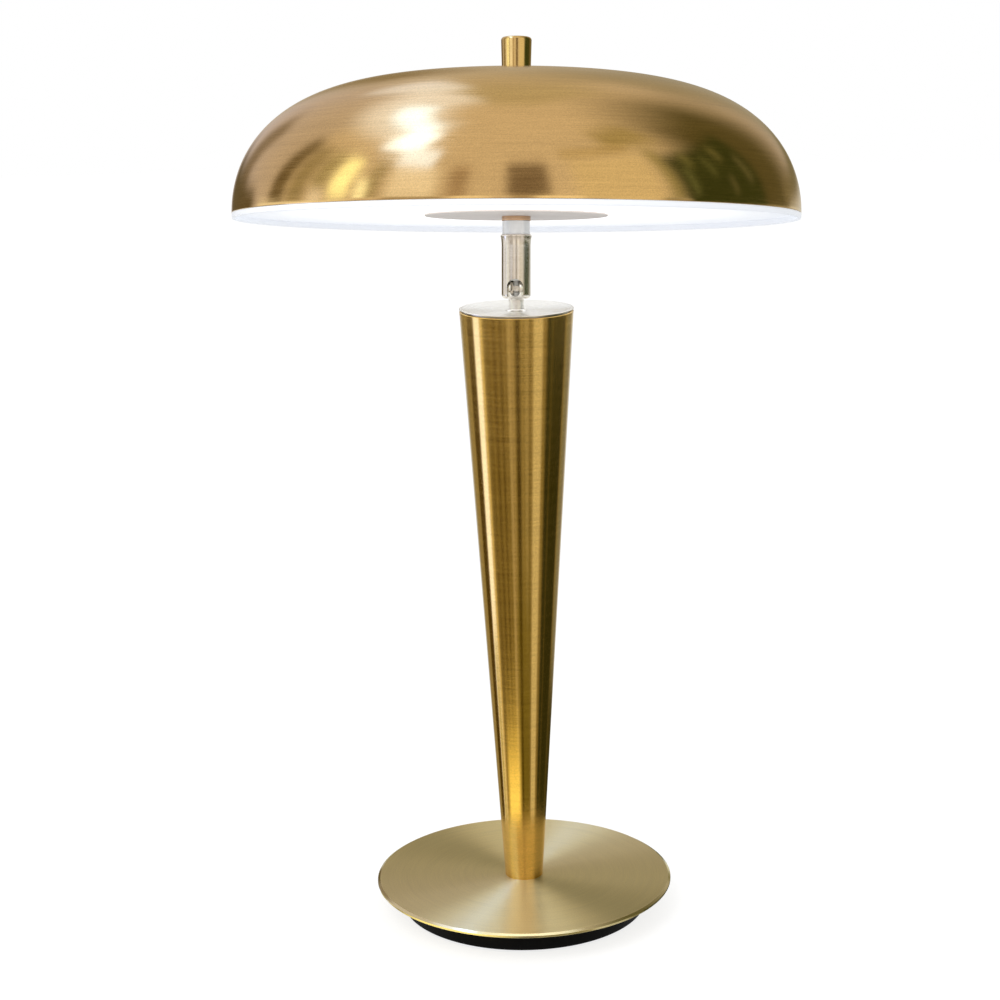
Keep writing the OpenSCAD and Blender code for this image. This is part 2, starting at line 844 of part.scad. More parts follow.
// Pan that carries and cools the lights
module carrier_plate()
    color(steel)
        on_head()
            difference() {
                rotate_extrude($fn = 180)
                    polygon([
                        [stem_shank_r + fit, carrier_z],
                        [carrier_r, carrier_z],
                        [carrier_r, carrier_z + 5],
                        [carrier_r - carrier_t, carrier_z + 5],
                        [carrier_r - carrier_t, carrier_top],
                        [stem_shank_r + fit, carrier_top]
                    ]);
                ring_of(6, carrier_screw_r)
                    translate([0, 0, carrier_z - over])
                        cylinder(r = screw_hole_r, h = carrier_t + 2 * over, $fn = 32);
                driver_pins(carrier_z - over) cylinder(r = pin_r + 0.7, h = carrier_t + 2 * over, $fn = 32);
            }

// Screws with nuts that hold the lights' board to the pan
module carrier_screws()
    color(steel)
        on_head()
            ring_of(6, carrier_screw_r)
                translate([0, 0, carrier_z - board_t])
                    rotate_extrude($fn = 32)
                        polygon([
                            [0, -screw_head_h], [screw_head_r, -screw_head_h], [screw_head_r, 0],
                            [screw_r, 0], [screw_r, board_t + carrier_t],
                            [screw_head_r, board_t + carrier_t],
                            [screw_head_r, board_t + carrier_t + 2 * screw_r],
                            [0, board_t + carrier_t + 2 * screw_r]
                        ]);

// Nut that clamps the stack on the stem
module stem_nut()
    color(steel) on_head() hex_nut(22, stem_shank_r + fit, stem_nut_t, carrier_top);

// Spacers under the driver board
module driver_standoffs()
    color(steel)
        on_head()
            for (x = [4, driver_l - 14], y = [-1, 1])
                translate([driver_x + x, y * (driver_w / 2 - 4), carrier_top])
                    cylinder(r = 2.5, h = driver_gap, $fn = 32);

// Driver board with its terminal block, coil, capacitor and pins down to the lights
module driver_board()
    color(board_green)
        on_head() {
            translate([driver_x, -driver_w / 2, driver_z]) cube([driver_l, driver_w, board_t]);
            translate([driver_x, -driver_w / 4, driver_z + board_t])
                cube([block_l, driver_w / 2, block_h]);
            translate([driver_x + 22, -6, driver_z + board_t]) cube([12, 12, 7]);
            translate([driver_x + 42, 8, driver_z + board_t]) cylinder(r = 4, h = 9, $fn = 48);
            driver_pins(carrier_z) cylinder(r = pin_r, h = driver_z - carrier_z + fit, $fn = 32);
        }

// Cable inside the stem, from the ball's centre to the driver board
module stem_cable()
    color(white)
        on_head() {
            translate([0, 0, 2]) cylinder(r = cable_r, h = window_z - 2 - elbow_r, $fn = 32);
            translate([0, 0, window_z])
                rotate([0, 0, -90]) mirror([0, 0, 1]) cable_bend(cable_r, elbow_r);
            translate([elbow_r, 0, window_z])
                rotate([0, 90, 0]) cylinder(r = cable_r, h = driver_x - elbow_r, $fn = 32);
        }

// Thin cable from the driver board up the stem to the switch
module switch_cable()
    color(white)
        on_head() {
            translate([elbow_r, 0, window_z + window_step])
                rotate([0, 90, 0]) cylinder(r = 1.2, h = driver_x - elbow_r, $fn = 32);
            translate([0, 0, window_z + window_step])
                rotate([0, 0, -90]) cable_bend(1.2, elbow_r);
            translate([0, 0, window_z + window_step + elbow_r])
                cylinder(r = 1.2, h = stem_top - window_z - window_step - elbow_r, $fn = 32);
        }

// Reducer between the stem's thread and the switch cage
module cage_reducer()
    color(steel)
        on_head()
            ring(chamber_r - fit, stem_shank_r + fit, reducer_h, stem_top - reducer_h);

// Cage that carries the shade and houses the switch
module switch_cage()
    color(steel)
        on_head()
            rotate_extrude()
                polygon([
                    [chamber_r, stem_top - reducer_h],
                    [cage_r, stem_top - reducer_h],
                    [cage_r, cage_top],
                    [thread_r, cage_top],
                    [thread_r, thread_top],
                    [plunger_r + fit, thread_top],
                    [plunger_r + fit, cage_top - cage_wall_t],
                    [chamber_r, cage_top - cage_wall_t]
                ]);

// Round board under the switch, on top of the reducer
module switch_board()
    color(board_green)
        on_head() translate([0, 0, stem_top]) cylinder(r = chamber_r - loose, h = board_t);

// Body of the switch
module tact_switch()
    color(black)
        on_head()
            translate([0, 0, switch_z])
                difference() {
                    rounded_block(12, 12, switch_h, 1);
                    translate([0, 0, 0.8]) cylinder(r = actuator_r + fit, h = switch_h, $fn = 48);
                }

// Spun shade with a square shoulder and an open rim
module shade()
    color(brass)
        on_head()
            translate([0, 0, rim_z])
                rotate_extrude($fn = 180) {
                    outer = dome_line(thread_r + 0.1, shade_r, shade_h);
                    inner = dome_line(thread_r + 0.1, shade_r - shade_wall, shade_h - shade_wall);
                    polygon(concat(outer, [for (i = [dome_steps : -1 : 0]) inner[i]]));
                }

// Nut that clamps the shade on the cage, hidden in the finial's skirt
module shade_nut()
    color(steel) on_head() hex_nut(13.4, thread_r + fit, shade_nut_t, dome_z);

// Coil spring that lifts the finial button
module button_spring() {
    wire = 0.45;
    mean_r = plunger_r + 1.5;
    low = thread_top + wire + fit;
    high = finial_ceiling - wire - fit;
    turns = 5;
    per_turn = 20;
    sides = 6;
    rings = turns * per_turn;
    function centre(i) = let (a = 360 * i / per_turn)
        [mean_r * cos(a), mean_r * sin(a), low + (high - low) * i / rings];
    points = [
        for (i = [0 : rings], k = [0 : sides - 1])
            let (c = centre(i), a = 360 * i / per_turn, b = 360 * k / sides)
            c + wire * (cos(b) * [cos(a), sin(a), 0] + sin(b) * [0, 0, 1])
    ];
    walls = [
        for (i = [0 : rings - 1], k = [0 : sides - 1])
            let (p = i * sides + k, q = i * sides + (k + 1) % sides)
            each [[p, q, q + sides], [p, q + sides, p + sides]]
    ];
    ends = [
        for (k = [1 : sides - 2])
            each [[0, k + 1, k], [rings * sides, rings * sides + k, rings * sides + k + 1]]
    ];
    color(steel) on_head() polyhedron(points, concat(walls, ends));
}

// Finial that is also the lamp's push button, hollow over the shade's nut
module finial_button()
    color(bright_brass)
        on_head()
            difference() {
                rotate_extrude()
                    polygon(concat(
                        [[0, finial_z], [finial_r - finial_taper, finial_z]],
                        arc([finial_r - finial_round, finial_end - finial_crown - finial_round],
                            finial_round, 0, 82),
                        [[0, finial_end]]
                    ));
                translate([0, 0, finial_z - over])
                    cylinder(r = finial_r - finial_taper - finial_skirt,
                             h = finial_ceiling - finial_z + over);
                translate([0, 0, finial_z])
                    cylinder(r = plunger_r + fit, h = finial_ceiling - finial_z + plunger_seat);
            }

// Rod that carries the finial and slides in the cage's bore
module button_plunger()
    color(white)
        on_head()
            difference() {
                translate([0, 0, plunger_z])
                    cylinder(r = plunger_r, h = finial_ceiling + plunger_seat - plunger_z);
                ring(plunger_r + over, plunger_r - groove, clip_t, clip_z);
            }

// Clip in the plunger's groove that keeps the button from lifting out
module plunger_clip()
    color(steel)
        on_head()
            difference() {
                ring(plunger_r + clip_rim, plunger_r - groove + fit, clip_t - 2 * fit, clip_z + fit);
                translate([0, -clip_mouth / 2, clip_z - over])
                    cube([3 * plunger_r, clip_mouth, clip_t + 2 * over]);
            }

// Pin of the switch that the plunger presses
module switch_actuator()
    color([0.75, 0.2, 0.15])
        on_head()
            translate([0, 0, actuator_z]) cylinder(r = actuator_r, h = plunger_z - actuator_z);

foot_pad();
bottom_cover();
cover_screws();
plinth_housing();
base_weight();
battery_foam();
battery_pack();
battery_lead();
charge_board();
usb_c_socket();
base_disc();
column_nipple();
nipple_washer();
nipple_nut();
column_plug();
column();
column_cap();
swivel_washer();
column_cable();
ball_post();
stop_washer();
post_nut();
post_cable();
joint_sleeve();
ball_seat();
disc_springs();
stem_tube();
stem_collar();
cover_plate();
diffuser();
hub_spacer();
led_board();
leds();
carrier_plate();
carrier_screws();
stem_nut();
driver_standoffs();
driver_board();
stem_cable();
switch_cable();
cage_reducer();
switch_cage();
switch_board();
tact_switch();
shade();
shade_nut();
button_spring();
finial_button();
button_plunger();
plunger_clip();
switch_actuator();
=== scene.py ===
"""Looks of a rechargeable table lamp with a spun brass shade on a slotted ball joint,
a tapered brass column and a brass disc over a black plinth. Lengths are in metres.
"""

import math

import bmesh
import bpy
import numpy as np
from bpy.props import FloatProperty, FloatVectorProperty, PointerProperty
from mathutils import Matrix, Vector


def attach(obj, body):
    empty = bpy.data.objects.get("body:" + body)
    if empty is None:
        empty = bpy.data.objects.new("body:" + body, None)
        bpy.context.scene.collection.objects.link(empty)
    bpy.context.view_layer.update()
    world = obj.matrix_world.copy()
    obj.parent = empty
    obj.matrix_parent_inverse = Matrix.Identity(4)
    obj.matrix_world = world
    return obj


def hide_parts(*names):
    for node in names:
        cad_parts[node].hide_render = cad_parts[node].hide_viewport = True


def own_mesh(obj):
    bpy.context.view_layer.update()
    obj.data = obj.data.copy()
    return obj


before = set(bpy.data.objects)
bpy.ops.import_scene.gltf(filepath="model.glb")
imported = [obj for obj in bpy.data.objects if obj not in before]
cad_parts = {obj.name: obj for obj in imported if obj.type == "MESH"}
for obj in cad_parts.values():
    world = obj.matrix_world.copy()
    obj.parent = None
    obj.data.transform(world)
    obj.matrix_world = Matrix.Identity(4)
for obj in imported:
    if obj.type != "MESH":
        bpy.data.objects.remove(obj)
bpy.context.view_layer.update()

bl_info = {
    "name": "Rechargeable Table Lamp",
    "version": (1, 0, 0),
    "blender": (4, 5, 0),
    "location": "3D View > Sidebar > Lamp",
    "description": "Builds the shade, joint, column, base and studio of a table lamp",
    "category": "Object",
}

MM = 0.001
WRAP = "Wrap"
RUB_AND_SHEEN = "RubAndSheen"
SIDES = 288


# Sizes and finishes that a user would change


def length(name, value, description):
    """A length in the sidebar, given in millimetres and kept in metres."""
    return FloatProperty(
        name=name, description=description, default=value * MM, min=0, unit="LENGTH", precision=5
    )


def turn(name, value, description):
    """An angle in the sidebar, given in degrees."""
    return FloatProperty(
        name=name, description=description, default=math.radians(value), unit="ROTATION"
    )


def tint(name, value, description):
    """A linear colour in the sidebar."""
    return FloatVectorProperty(
        name=name, description=description, default=value, size=3, min=0, max=1, subtype="COLOR"
    )


def amount(name, value, description, top=10):
    """A plain number in the sidebar."""
    return FloatProperty(name=name, description=description, default=value, min=0, max=top)


class HeadSizes(bpy.types.PropertyGroup):
    """Sizes above the ball joint, in heights along the head's own axis from the ball's centre."""

    pivot: length("Pivot height", 421.78885, "Height of the ball's centre over the table")
    lean: turn("Lean", 9, "Lean of the head to the back at rest")
    swing: turn("Turn", 5.4, "Turn of the head to the left at rest")
    shade_radius: length("Shade radius", 181, "Outer radius of the shade's rim")
    shade_height: length("Shade height", 87.4, "Height of the dome over its rim")
    shade_wall: length("Shade wall", 0.8, "Wall of the spun shade")
    rim: length("Rim height", 47.4, "Height of the shade's rim")
    shoulder: amount("Shoulder", 3.54, "How square the dome's shoulder is, 2 for an ellipse")
    crown: amount("Crown", 2.055, "How full the dome's crown is, 2 for an ellipse")
    crown_hole: length("Crown hole", 6.1, "Radius of the hole in the crown")
    finial_radius: length("Finial radius", 9.8, "Radius of the finial under its rounded edge")
    finial_taper: length("Finial taper", 0.6, "How much narrower the finial is at its foot")
    finial_foot: length("Finial foot", 136.8, "Height of the finial's lower edge")
    finial_top: length("Finial top", 159.9, "Height of the finial's top")
    finial_round: length("Finial round", 3, "Round of the finial's top edge")
    finial_roof: length("Finial roof", 12, "Thickness of the finial over its hollow")
    travel: length("Travel", 1.5, "How far the finial goes down when it is pressed")
    spring_foot: length("Spring foot", 139.5, "Height under the finial's return spring")
    spring_radius: length("Spring radius", 5, "Radius of the return spring's coils")
    spring_wire: length("Spring wire", 0.45, "Radius of the return spring's wire")
    collar_radius: length("Collar radius", 9.3, "Radius of the polished collar")
    collar_foot: length("Collar foot", 43.4, "Height of the collar's lower edge")
    plate_radius: length("Plate radius", 58.9, "Radius of the cover plate")
    plate_foot: length("Plate height", 46.4, "Height of the cover plate's lower face")
    plate_thick: length("Plate thickness", 1.2, "Thickness of the cover plate")
    diffuser_radius: length("Diffuser radius", 179.6, "Radius of the opal disc inside the rim")
    diffuser_thick: length("Diffuser thickness", 2, "Thickness of the opal disc")
    skirt_drop: length("Skirt drop", 3.7, "How far the opal skirt hangs under the rim")
    skirt_thick: length("Skirt thickness", 2.4, "Thickness of the opal skirt")
    skirt_gap: length("Skirt gap", 0.3, "Height of the gap between skirt and rim")
    thread: length("Thread radius", 8.05, "Radius of the holes on the threaded stem")


class JointSizes(bpy.types.PropertyGroup):
    """Sizes of the slotted sleeve, in heights from the ball's centre."""

    seat: length("Seat radius", 8.35, "Radius of the sleeve's bore and ball seat")
    sleeve: length("Sleeve radius", 9.3, "Outer radius of the sleeve")
    mouth: length("Mouth radius", 6.6908, "Radius of the sleeve's mouth")
    drop: length("Mouth depth", 6.0956, "Depth of the sleeve's lower edge")
    curl: length("Lip round", 2.509, "Round of the curled lower lip")
    lip: length("Lip thickness", 1.1, "Height of the mouth's straight edge")
    slot: length("Slot half width", 5.2, "Half the width of the side slot")
    slot_rise: length("Slot rise", 1.2, "Height of the centre of the slot's arch")
    top: length("Sleeve top", 34.8, "Height of the sleeve's top edge")
    flare: length("Flare radius", 10, "Radius of the flared top edge")
    flare_height: length("Flare height", 7.3, "Height of the flare")


class BodySizes(bpy.types.PropertyGroup):
    """Sizes of the column, its cap and the base."""

    foot: length("Base height", 20, "Height of the disc's top face")
    top: length("Column top", 408.4, "Height of the column's mouth")
    foot_radius: length("Column foot radius", 12.8, "Outer radius at the column's foot")
    top_radius: length("Column top radius", 36.85, "Outer radius at the column's mouth")
    wall: length("Column wall", 1.2, "Wall of the tapered tube")
    cap_gap: length("Cap gap", 0.6, "Height of the shadow gap under the cap's rim")
    cap_rim: length("Cap rim", 0.65, "Thickness of the cap's rim")
    cap_dish: length("Cap dish", 1.5, "Depth of the cap's dish")
    disc_radius: length("Disc radius", 100, "Radius of the brass disc")
    disc_thick: length("Disc thickness", 2.5, "Thickness of the brass disc")
    disc_bevel: length("Disc bevel", 1.05, "Height of the bevel round the disc's top edge")
    disc_slope: length("Disc bevel width", 1.7, "Width of the bevel round the disc's top edge")
    disc_bore: length("Disc bore", 5.3, "Radius of the hole in the disc")


class Finishes(bpy.types.PropertyGroup):
    """Colours and surfaces."""

    shade_brass: tint("Shade brass", (0.86, 0.61, 0.27), "Lacquered brass of the spun shade")
    column_brass: tint("Column brass", (0.9, 0.61, 0.2), "Brass of the column")
    disc_brass: tint("Disc brass", (0.88, 0.78, 0.46), "Brass of the base disc")
    polished_brass: tint("Polished brass", (0.9, 0.66, 0.27), "Brass of the finial")
    # The collar's brass is a darker copy of the finial's polished brass: painted shade.
    collar_brass: tint("Collar brass", (0.7, 0.47, 0.3), "Darker brass of the collar")
    nickel: tint("Nickel", (0.84, 0.81, 0.75), "Warm satin nickel of the joint")
    # The cap's nickel is a lighter copy of the joint's nickel: painted light from the lit diffuser
    # above.
    cap_nickel_painted_light: tint("Cap nickel", (0.88, 0.87, 0.83), "Satin nickel of the cap")
    plate_paint: tint("Cover paint", (0.74, 0.68, 0.64), "Satin paint of the cover plate")
    glow: tint("Glow", (0.98, 0.985, 1), "Colour of the lit diffuser")
    glow_power: amount("Glow power", 1.5, "Brightness of the lit diffuser")
    satin: amount("Satin", 0.15, "Roughness of the brushed brass", 1)
    grain: amount("Grain", 0.75, "How far the brushing stretches highlights", 1)


class Studio(bpy.types.PropertyGroup):
    """Camera and light."""

    distance: length("Camera distance", 1396.758, "Distance of the camera in front of the lamp")
    height: length("Camera height", 617.775, "Height of the camera over the table")
    pitch: turn("Camera pitch", 13.491, "How far the camera looks down")
    yaw: turn("Camera yaw", -0.512, "How far the camera looks to the right")
    roll: turn("Camera roll", -0.902, "Roll of the camera")
    lens: amount("Lens", 78.7, "Focal length in millimetres on a 36 mm sensor", 500)
    soft_light: amount("Soft light", 0.85, "Brightness of the light from all round")
    key_light: amount("Key light", 9, "Power of the soft key light in watts", 1000)


# Outlines and turned surfaces


def eased(corners, loop=True, steps=6, ease=0.00012):
    """An outline with rounded corners, as rows of radius, height and a share of wear and painted
    highlight.

    Each corner is (radius, height, round). Its arc has that round and touches both sides that meet
    there; a further point on each side, a little past the arc, keeps the sides flat in shading. The
    share is 1 on an arc and 0 elsewhere. It marks rounded edges that are painted lighter, partly as
    wear and partly as a painted highlight. With loop off, the two end corners stay sharp.
    """
    rows = []
    count = len(corners)
    for k, (radius, height, rounding) in enumerate(corners):
        here = np.array([radius, height])
        if rounding == 0 or (not loop and k in (0, count - 1)):
            rows.append([radius, height, 0])
            continue
        sides = [np.array(corners[j % count][:2]) - here for j in (k - 1, k + 1)]
        lengths = [np.linalg.norm(side) for side in sides]
        room = 0.45 * min(lengths)
        before, after = [side / long for side, long in zip(sides, lengths)]
        half = math.acos(np.clip(before @ after, -1, 1)) / 2
        reach = min(rounding / math.tan(half), room)
        centre = here + (before + after) / np.linalg.norm(before + after) * reach / math.cos(half)
        start = here + before * reach - centre
        end = here + after * reach - centre
        sweep = math.pi - 2 * half
        t = np.linspace(0, 1, steps + 1)[:, None]
        arc = centre + (np.sin((1 - t) * sweep) * start + np.sin(t * sweep) * end) / math.sin(sweep)
        past = min(ease, 0.1 * room)
        rows.append([*(here + before * (reach + past)), 0])
        rows.extend([*point, 1] for point in arc)
        rows.append([*(here + after * (reach + past)), 0])
    return np.array(rows)


def placed(name, data):
    """A new object in the scene."""
    made = bpy.data.objects.new(name, data)
    bpy.context.scene.collection.objects.link(made)
    return made


def bare_mesh(name, points, faces):
    """A new mesh object from arrays of points and faces."""
    mesh = bpy.data.meshes.new(name)
    mesh.from_pydata(points.reshape(-1, 3).tolist(), [], faces.tolist())
    return placed(name, mesh)


def mesh_object(name, points, faces, wrap, rub=None, place=None):
    """A smooth, closed mesh in a place of its own, with one wrap map pair per face corner. Points
    that meet, as at a pole, become one, and the faces are turned outwards."""
    points = points.reshape(-1, 3)
    if place is not None:
        points = points @ np.array(place.to_3x3()).T + np.array(place.translation)
    piece = bare_mesh(name, points, faces)
    mesh = piece.data
    layer = mesh.uv_layers.new(name=WRAP)
    layer.uv.foreach_set("vector", np.asarray(wrap, np.float32).ravel())
    if rub is not None:
        attribute = mesh.attributes.new(RUB_AND_SHEEN, "FLOAT", "POINT")
        attribute.data.foreach_set("value", np.asarray(rub, np.float32))
    work = bmesh.new()
    work.from_mesh(mesh)
    bmesh.ops.remove_doubles(work, verts=work.verts, dist=0.001 * MM)
    bmesh.ops.dissolve_degenerate(work, edges=work.edges, dist=0.001 * MM)
    bmesh.ops.recalc_face_normals(work, faces=work.faces)
    work.to_mesh(mesh)
    work.free()
    mesh.polygons.foreach_set("use_smooth", np.ones(len(mesh.polygons), bool))
    mesh.update()
    return piece


def cells(grid):
    """The four corners of each cell of a grid, with one row per cell."""
    corners = [grid[:-1, :-1], grid[:-1, 1:], grid[1:, 1:], grid[1:, :-1]]
    return np.stack(corners, 2).reshape(-1, 4, *grid.shape[2:])


def grid_faces(rows, columns, loop=False):
    """Quads of a grid that closes from its last column to its first, and with loop from its last
    row to its first too."""
    index = np.arange(rows * columns).reshape(rows, columns)
    index = np.column_stack([index, index[:, 0]])
    return cells(np.concatenate([index, index[:1]]) if loop else index)


def grid_wrap(share, along):
    """The wrap map of such a grid, from its shares of a turn and its lengths."""
    return cells(np.stack(np.meshgrid(share, along), -1))


def turned(name, outline, loop=True, sides=SIDES, place=None):
    """A body of revolution. Point (i, j) carries outline row j, of radius r and height z, round
    the axis to the angle a that is i parts of a full turn from the back: it lies at r cos a,
    r sin a, z. The wrap map holds the share of the turn and the length along the outline.
    """
    radius, height, rub = outline.T
    line = np.concatenate([outline, outline[:1]]) if loop else outline
    along = np.concatenate([[0], np.cumsum(np.hypot(*np.diff(line[:, :2].T)))])
    share = np.linspace(0, 1, sides + 1)
    angle = math.pi / 2 + math.tau * share[:-1]
    across, up = radius[:, None], height[:, None] + 0 * angle
    points = np.stack([across * np.cos(angle), across * np.sin(angle), up], -1)
    faces = grid_faces(len(outline), sides, loop)
    return mesh_object(name, points, faces, grid_wrap(share, along), np.repeat(rub, sides), place)


def coil(name, wire, radius, low, high, place, turns=5, per_turn=40, sides=12):
    """A coil spring with closed ends. The wire's centre lies at r cos a, r sin a, h, with r the
    coils' radius, a the angle and h a height that rises by little more than the wire's thickness
    in the first and last turn and evenly between them. Round the centre, a point lies at the
    wire's radius times cos b outwards and sin b upwards. That radius shrinks to 0 at the ends.
    """
    part = np.linspace(0, turns, turns * per_turn + 1)
    part = np.concatenate([[0], part, [turns]])
    thick = np.full((len(part), 1), wire)
    thick[[0, 1, -2, -1], 0] *= [0, 0.7, 0.7, 0]
    closed = 2.1 * wire
    knots = [low, low + closed, high - closed, high]
    rise = np.interp(part, [0, 1, turns - 1, turns], knots)[:, None]
    share = np.linspace(0, 1, sides + 1)
    a, b = math.tau * part[:, None], math.tau * share[:-1]
    wide = radius + thick * np.cos(b)
    points = np.stack([wide * np.cos(a), wide * np.sin(a), rise + thick * np.sin(b)], -1)
    wrap = grid_wrap(share, math.tau * radius * part)
    return mesh_object(name, points, grid_faces(len(part), sides), wrap, place=place)


def ring(inner, outer, low, high, rounds):
    """The outline of a flat ring, with the rounds of its corners in millimetres, from inside
    below to inside above."""
    sides = [(inner, low), (outer, low), (outer, high), (inner, high)]
    return eased([(*side, rounding * MM) for side, rounding in zip(sides, rounds)])


def head_place(head):
    """Where the head's own frame stands: turned and leant about the ball's centre."""
    return (
        Matrix.Translation((0, 0, head.pivot))
        @ Matrix.Rotation(-head.swing, 4, "Z")
        @ Matrix.Rotation(-head.lean, 4, "X")
    )


def dome_line(hole, rim_radius, height, shoulder, crown, count=90):
    """Half a dome from the hole in its crown to its rim, as radius and height. The height is
    that of the whole dome times (1 - (radius / rim radius) ^ shoulder) ^ (1 / crown)."""
    t = np.linspace(0, 1, count)
    radius = hole + (rim_radius - hole) * np.sin(math.pi / 2 * t)
    inside = np.clip(1 - (radius / rim_radius) ** shoulder, 0, None)
    return np.stack([radius, height * inside ** (1 / crown)], -1)


# Materials


def add(tree, kind, inputs=None, **settings):
    """Adds a shader node. An input takes a value or another node's output."""
    made = tree.nodes.new("ShaderNode" + kind)
    for key, value in settings.items():
        setattr(made, key, value)
    for key, value in (inputs or {}).items():
        if isinstance(value, bpy.types.NodeSocket):
            tree.links.new(value, made.inputs[key])
        else:
            made.inputs[key].default_value = value
    return made


def sum_of(tree, operation, a, b=0):
    """The output of a Math node."""
    return add(tree, "Math", {0: a, 1: b}, operation=operation).outputs[0]


def weighed(tree, first, second, share):
    """The sum of two values, with this share of the second and the rest of the first."""
    rest = sum_of(tree, "MULTIPLY", first, 1 - share)
    return sum_of(tree, "ADD", rest, sum_of(tree, "MULTIPLY", second, share))


def spread(tree, value, low, high, new_low, new_high):
    """A value carried from one range to another, with its ends held."""
    inputs = {"Value": value, 1: low, 2: high, 3: new_low, 4: new_high}
    return add(tree, "MapRange", inputs).outputs[0]


def blend(tree, share, first, second):
    """A colour between two others."""
    inputs = {0: share, 6: first, 7: second}
    return add(tree, "Mix", inputs, data_type="RGBA").outputs[2]


def shaded(colour, factor):
    """A colour made darker or lighter, with full opacity."""
    return (*[min(1, c * factor) for c in colour[:3]], 1)


def blank_tree(owner):
    """The node tree of a new material or world, with nothing in it."""
    owner.use_nodes = True
    owner.node_tree.nodes.clear()
    return owner.node_tree


def show(tree, shader, output="OutputMaterial"):
    """Ends a tree with its output."""
    tree.links.new(shader.outputs[0], add(tree, output).inputs[0])


def feed(tree, shader, socket, value):
    """Links a value or colour that varies over the surface to a socket of the shader."""
    tree.links.new(value, shader.inputs[socket])


def new_material(name, metallic=0, roughness=0.5, **sockets):
    """A material with one Principled shader. Plain values go on its own sockets."""
    material = bpy.data.materials.new(name)
    tree = blank_tree(material)
    shader = add(tree, "BsdfPrincipled", {"Metallic": metallic, "Roughness": roughness})
    for key, value in sockets.items():
        shader.inputs[key.replace("_", " ")].default_value = value
    show(tree, shader)
    return material, tree, shader


def brush_lines(tree, around, pitch, seed, detail=3):
    """Noise drawn out into lines round the axis. The share of a turn becomes a point on a circle,
    so that the lines have no seam, and the length along the outline is divided by the pitch."""
    wrap = add(tree, "UVMap", uv_map=WRAP)
    parts = add(tree, "SeparateXYZ", {0: wrap.outputs[0]})
    angle = sum_of(tree, "MULTIPLY", parts.outputs[0], math.tau)
    circle = [sum_of(tree, kind, angle) for kind in ("COSINE", "SINE")]
    across, along = [sum_of(tree, "MULTIPLY", side, around) for side in circle]
    rise = sum_of(tree, "ADD", sum_of(tree, "DIVIDE", parts.outputs[1], pitch), seed)
    place = add(tree, "CombineXYZ", {0: across, 1: along, 2: rise})
    inputs = {"Vector": place.outputs[0], "Scale": 1, "Detail": detail, "Roughness": 0.6}
    return add(tree, "TexNoise", inputs).outputs[0]


def clouds(tree, scale, detail=3, stretch=(1, 1, 1)):
    """Noise in Object coordinates, with its scale in features per metre."""
    place = add(tree, "TexCoord").outputs["Object"]
    mapped = add(tree, "Mapping", {"Vector": place, "Scale": stretch})
    inputs = {"Vector": mapped.outputs[0], "Scale": scale, "Detail": detail}
    return add(tree, "TexNoise", inputs).outputs[0]


def raise_by(tree, shader, height, depth):
    """Bump of a depth in metres."""
    bump = add(tree, "Bump", {"Height": height, "Distance": depth})
    feed(tree, shader, "Normal", bump.outputs[0])


def brushed_metal(name, colour, roughness, grain, around, pitch, depth, contrast, shine=0.06):
    """Metal brushed round its axis: fine lines and broader ones in tone, roughness and bump, a fine
    speckle in tone, soft clouds where the lacquer is uneven, and lighter edges on the rounds, partly
    wear of hands and partly a painted highlight, smoother by the shine. The grain is how far the
    brushing stretches highlights, and the contrast how far the tone goes to the dark side."""
    material, tree, shader = new_material(name, 1, roughness, Anisotropic=grain)
    tangent = add(tree, "Tangent", direction_type="UV_MAP", uv_map=WRAP)
    feed(tree, shader, "Tangent", tangent.outputs[0])
    shader.inputs["Anisotropic Rotation"].default_value = 0.25
    fine = brush_lines(tree, around, pitch, 3)
    broad = brush_lines(tree, around * 0.4, pitch * 5, 11, 2)
    cloud = clouds(tree, 14)
    speckle = clouds(tree, 1100, 1)
    lines = weighed(tree, fine, broad, 0.4)
    tone = spread(tree, weighed(tree, lines, speckle, 0.4), 0.38, 0.62, 0, 1)
    brushed = blend(tree, tone, shaded(colour, 1 - contrast), shaded(colour, 1 + contrast * 0.6))
    rub = add(tree, "Attribute", attribute_name=RUB_AND_SHEEN).outputs["Fac"]
    # Rounded edges are painted lighter: partly wear, partly a painted highlight.
    wear_and_highlight = sum_of(tree, "MULTIPLY", rub, 0.5)
    feed(tree, shader, "Base Color", blend(tree, wear_and_highlight, brushed, shaded(colour, 1.15)))
    rough = spread(tree, fine, 0.3, 0.7, roughness - 0.04, roughness + 0.05)
    clouded = sum_of(tree, "ADD", rough, spread(tree, cloud, 0.3, 0.7, -0.025, 0.025))
    smooth = sum_of(tree, "SUBTRACT", clouded, sum_of(tree, "MULTIPLY", rub, shine))
    feed(tree, shader, "Roughness", smooth)
    raise_by(tree, shader, lines, depth)
    return material


def polished_metal(name, colour, roughness):
    """Polished metal with faint turning lines, and haze where it has been touched."""
    material, tree, shader = new_material(name, 1, roughness)
    fine = brush_lines(tree, 5, 0.0004, 5)
    haze = clouds(tree, 120)
    feed(tree, shader, "Roughness", spread(tree, haze, 0.4, 0.75, roughness - 0.03, roughness + 0.08))
    tone = spread(tree, fine, 0.35, 0.65, 0, 1)
    feed(tree, shader, "Base Color", blend(tree, tone, shaded(colour, 0.95), shaded(colour, 1.04)))
    raise_by(tree, shader, fine, 0.000002)
    return material


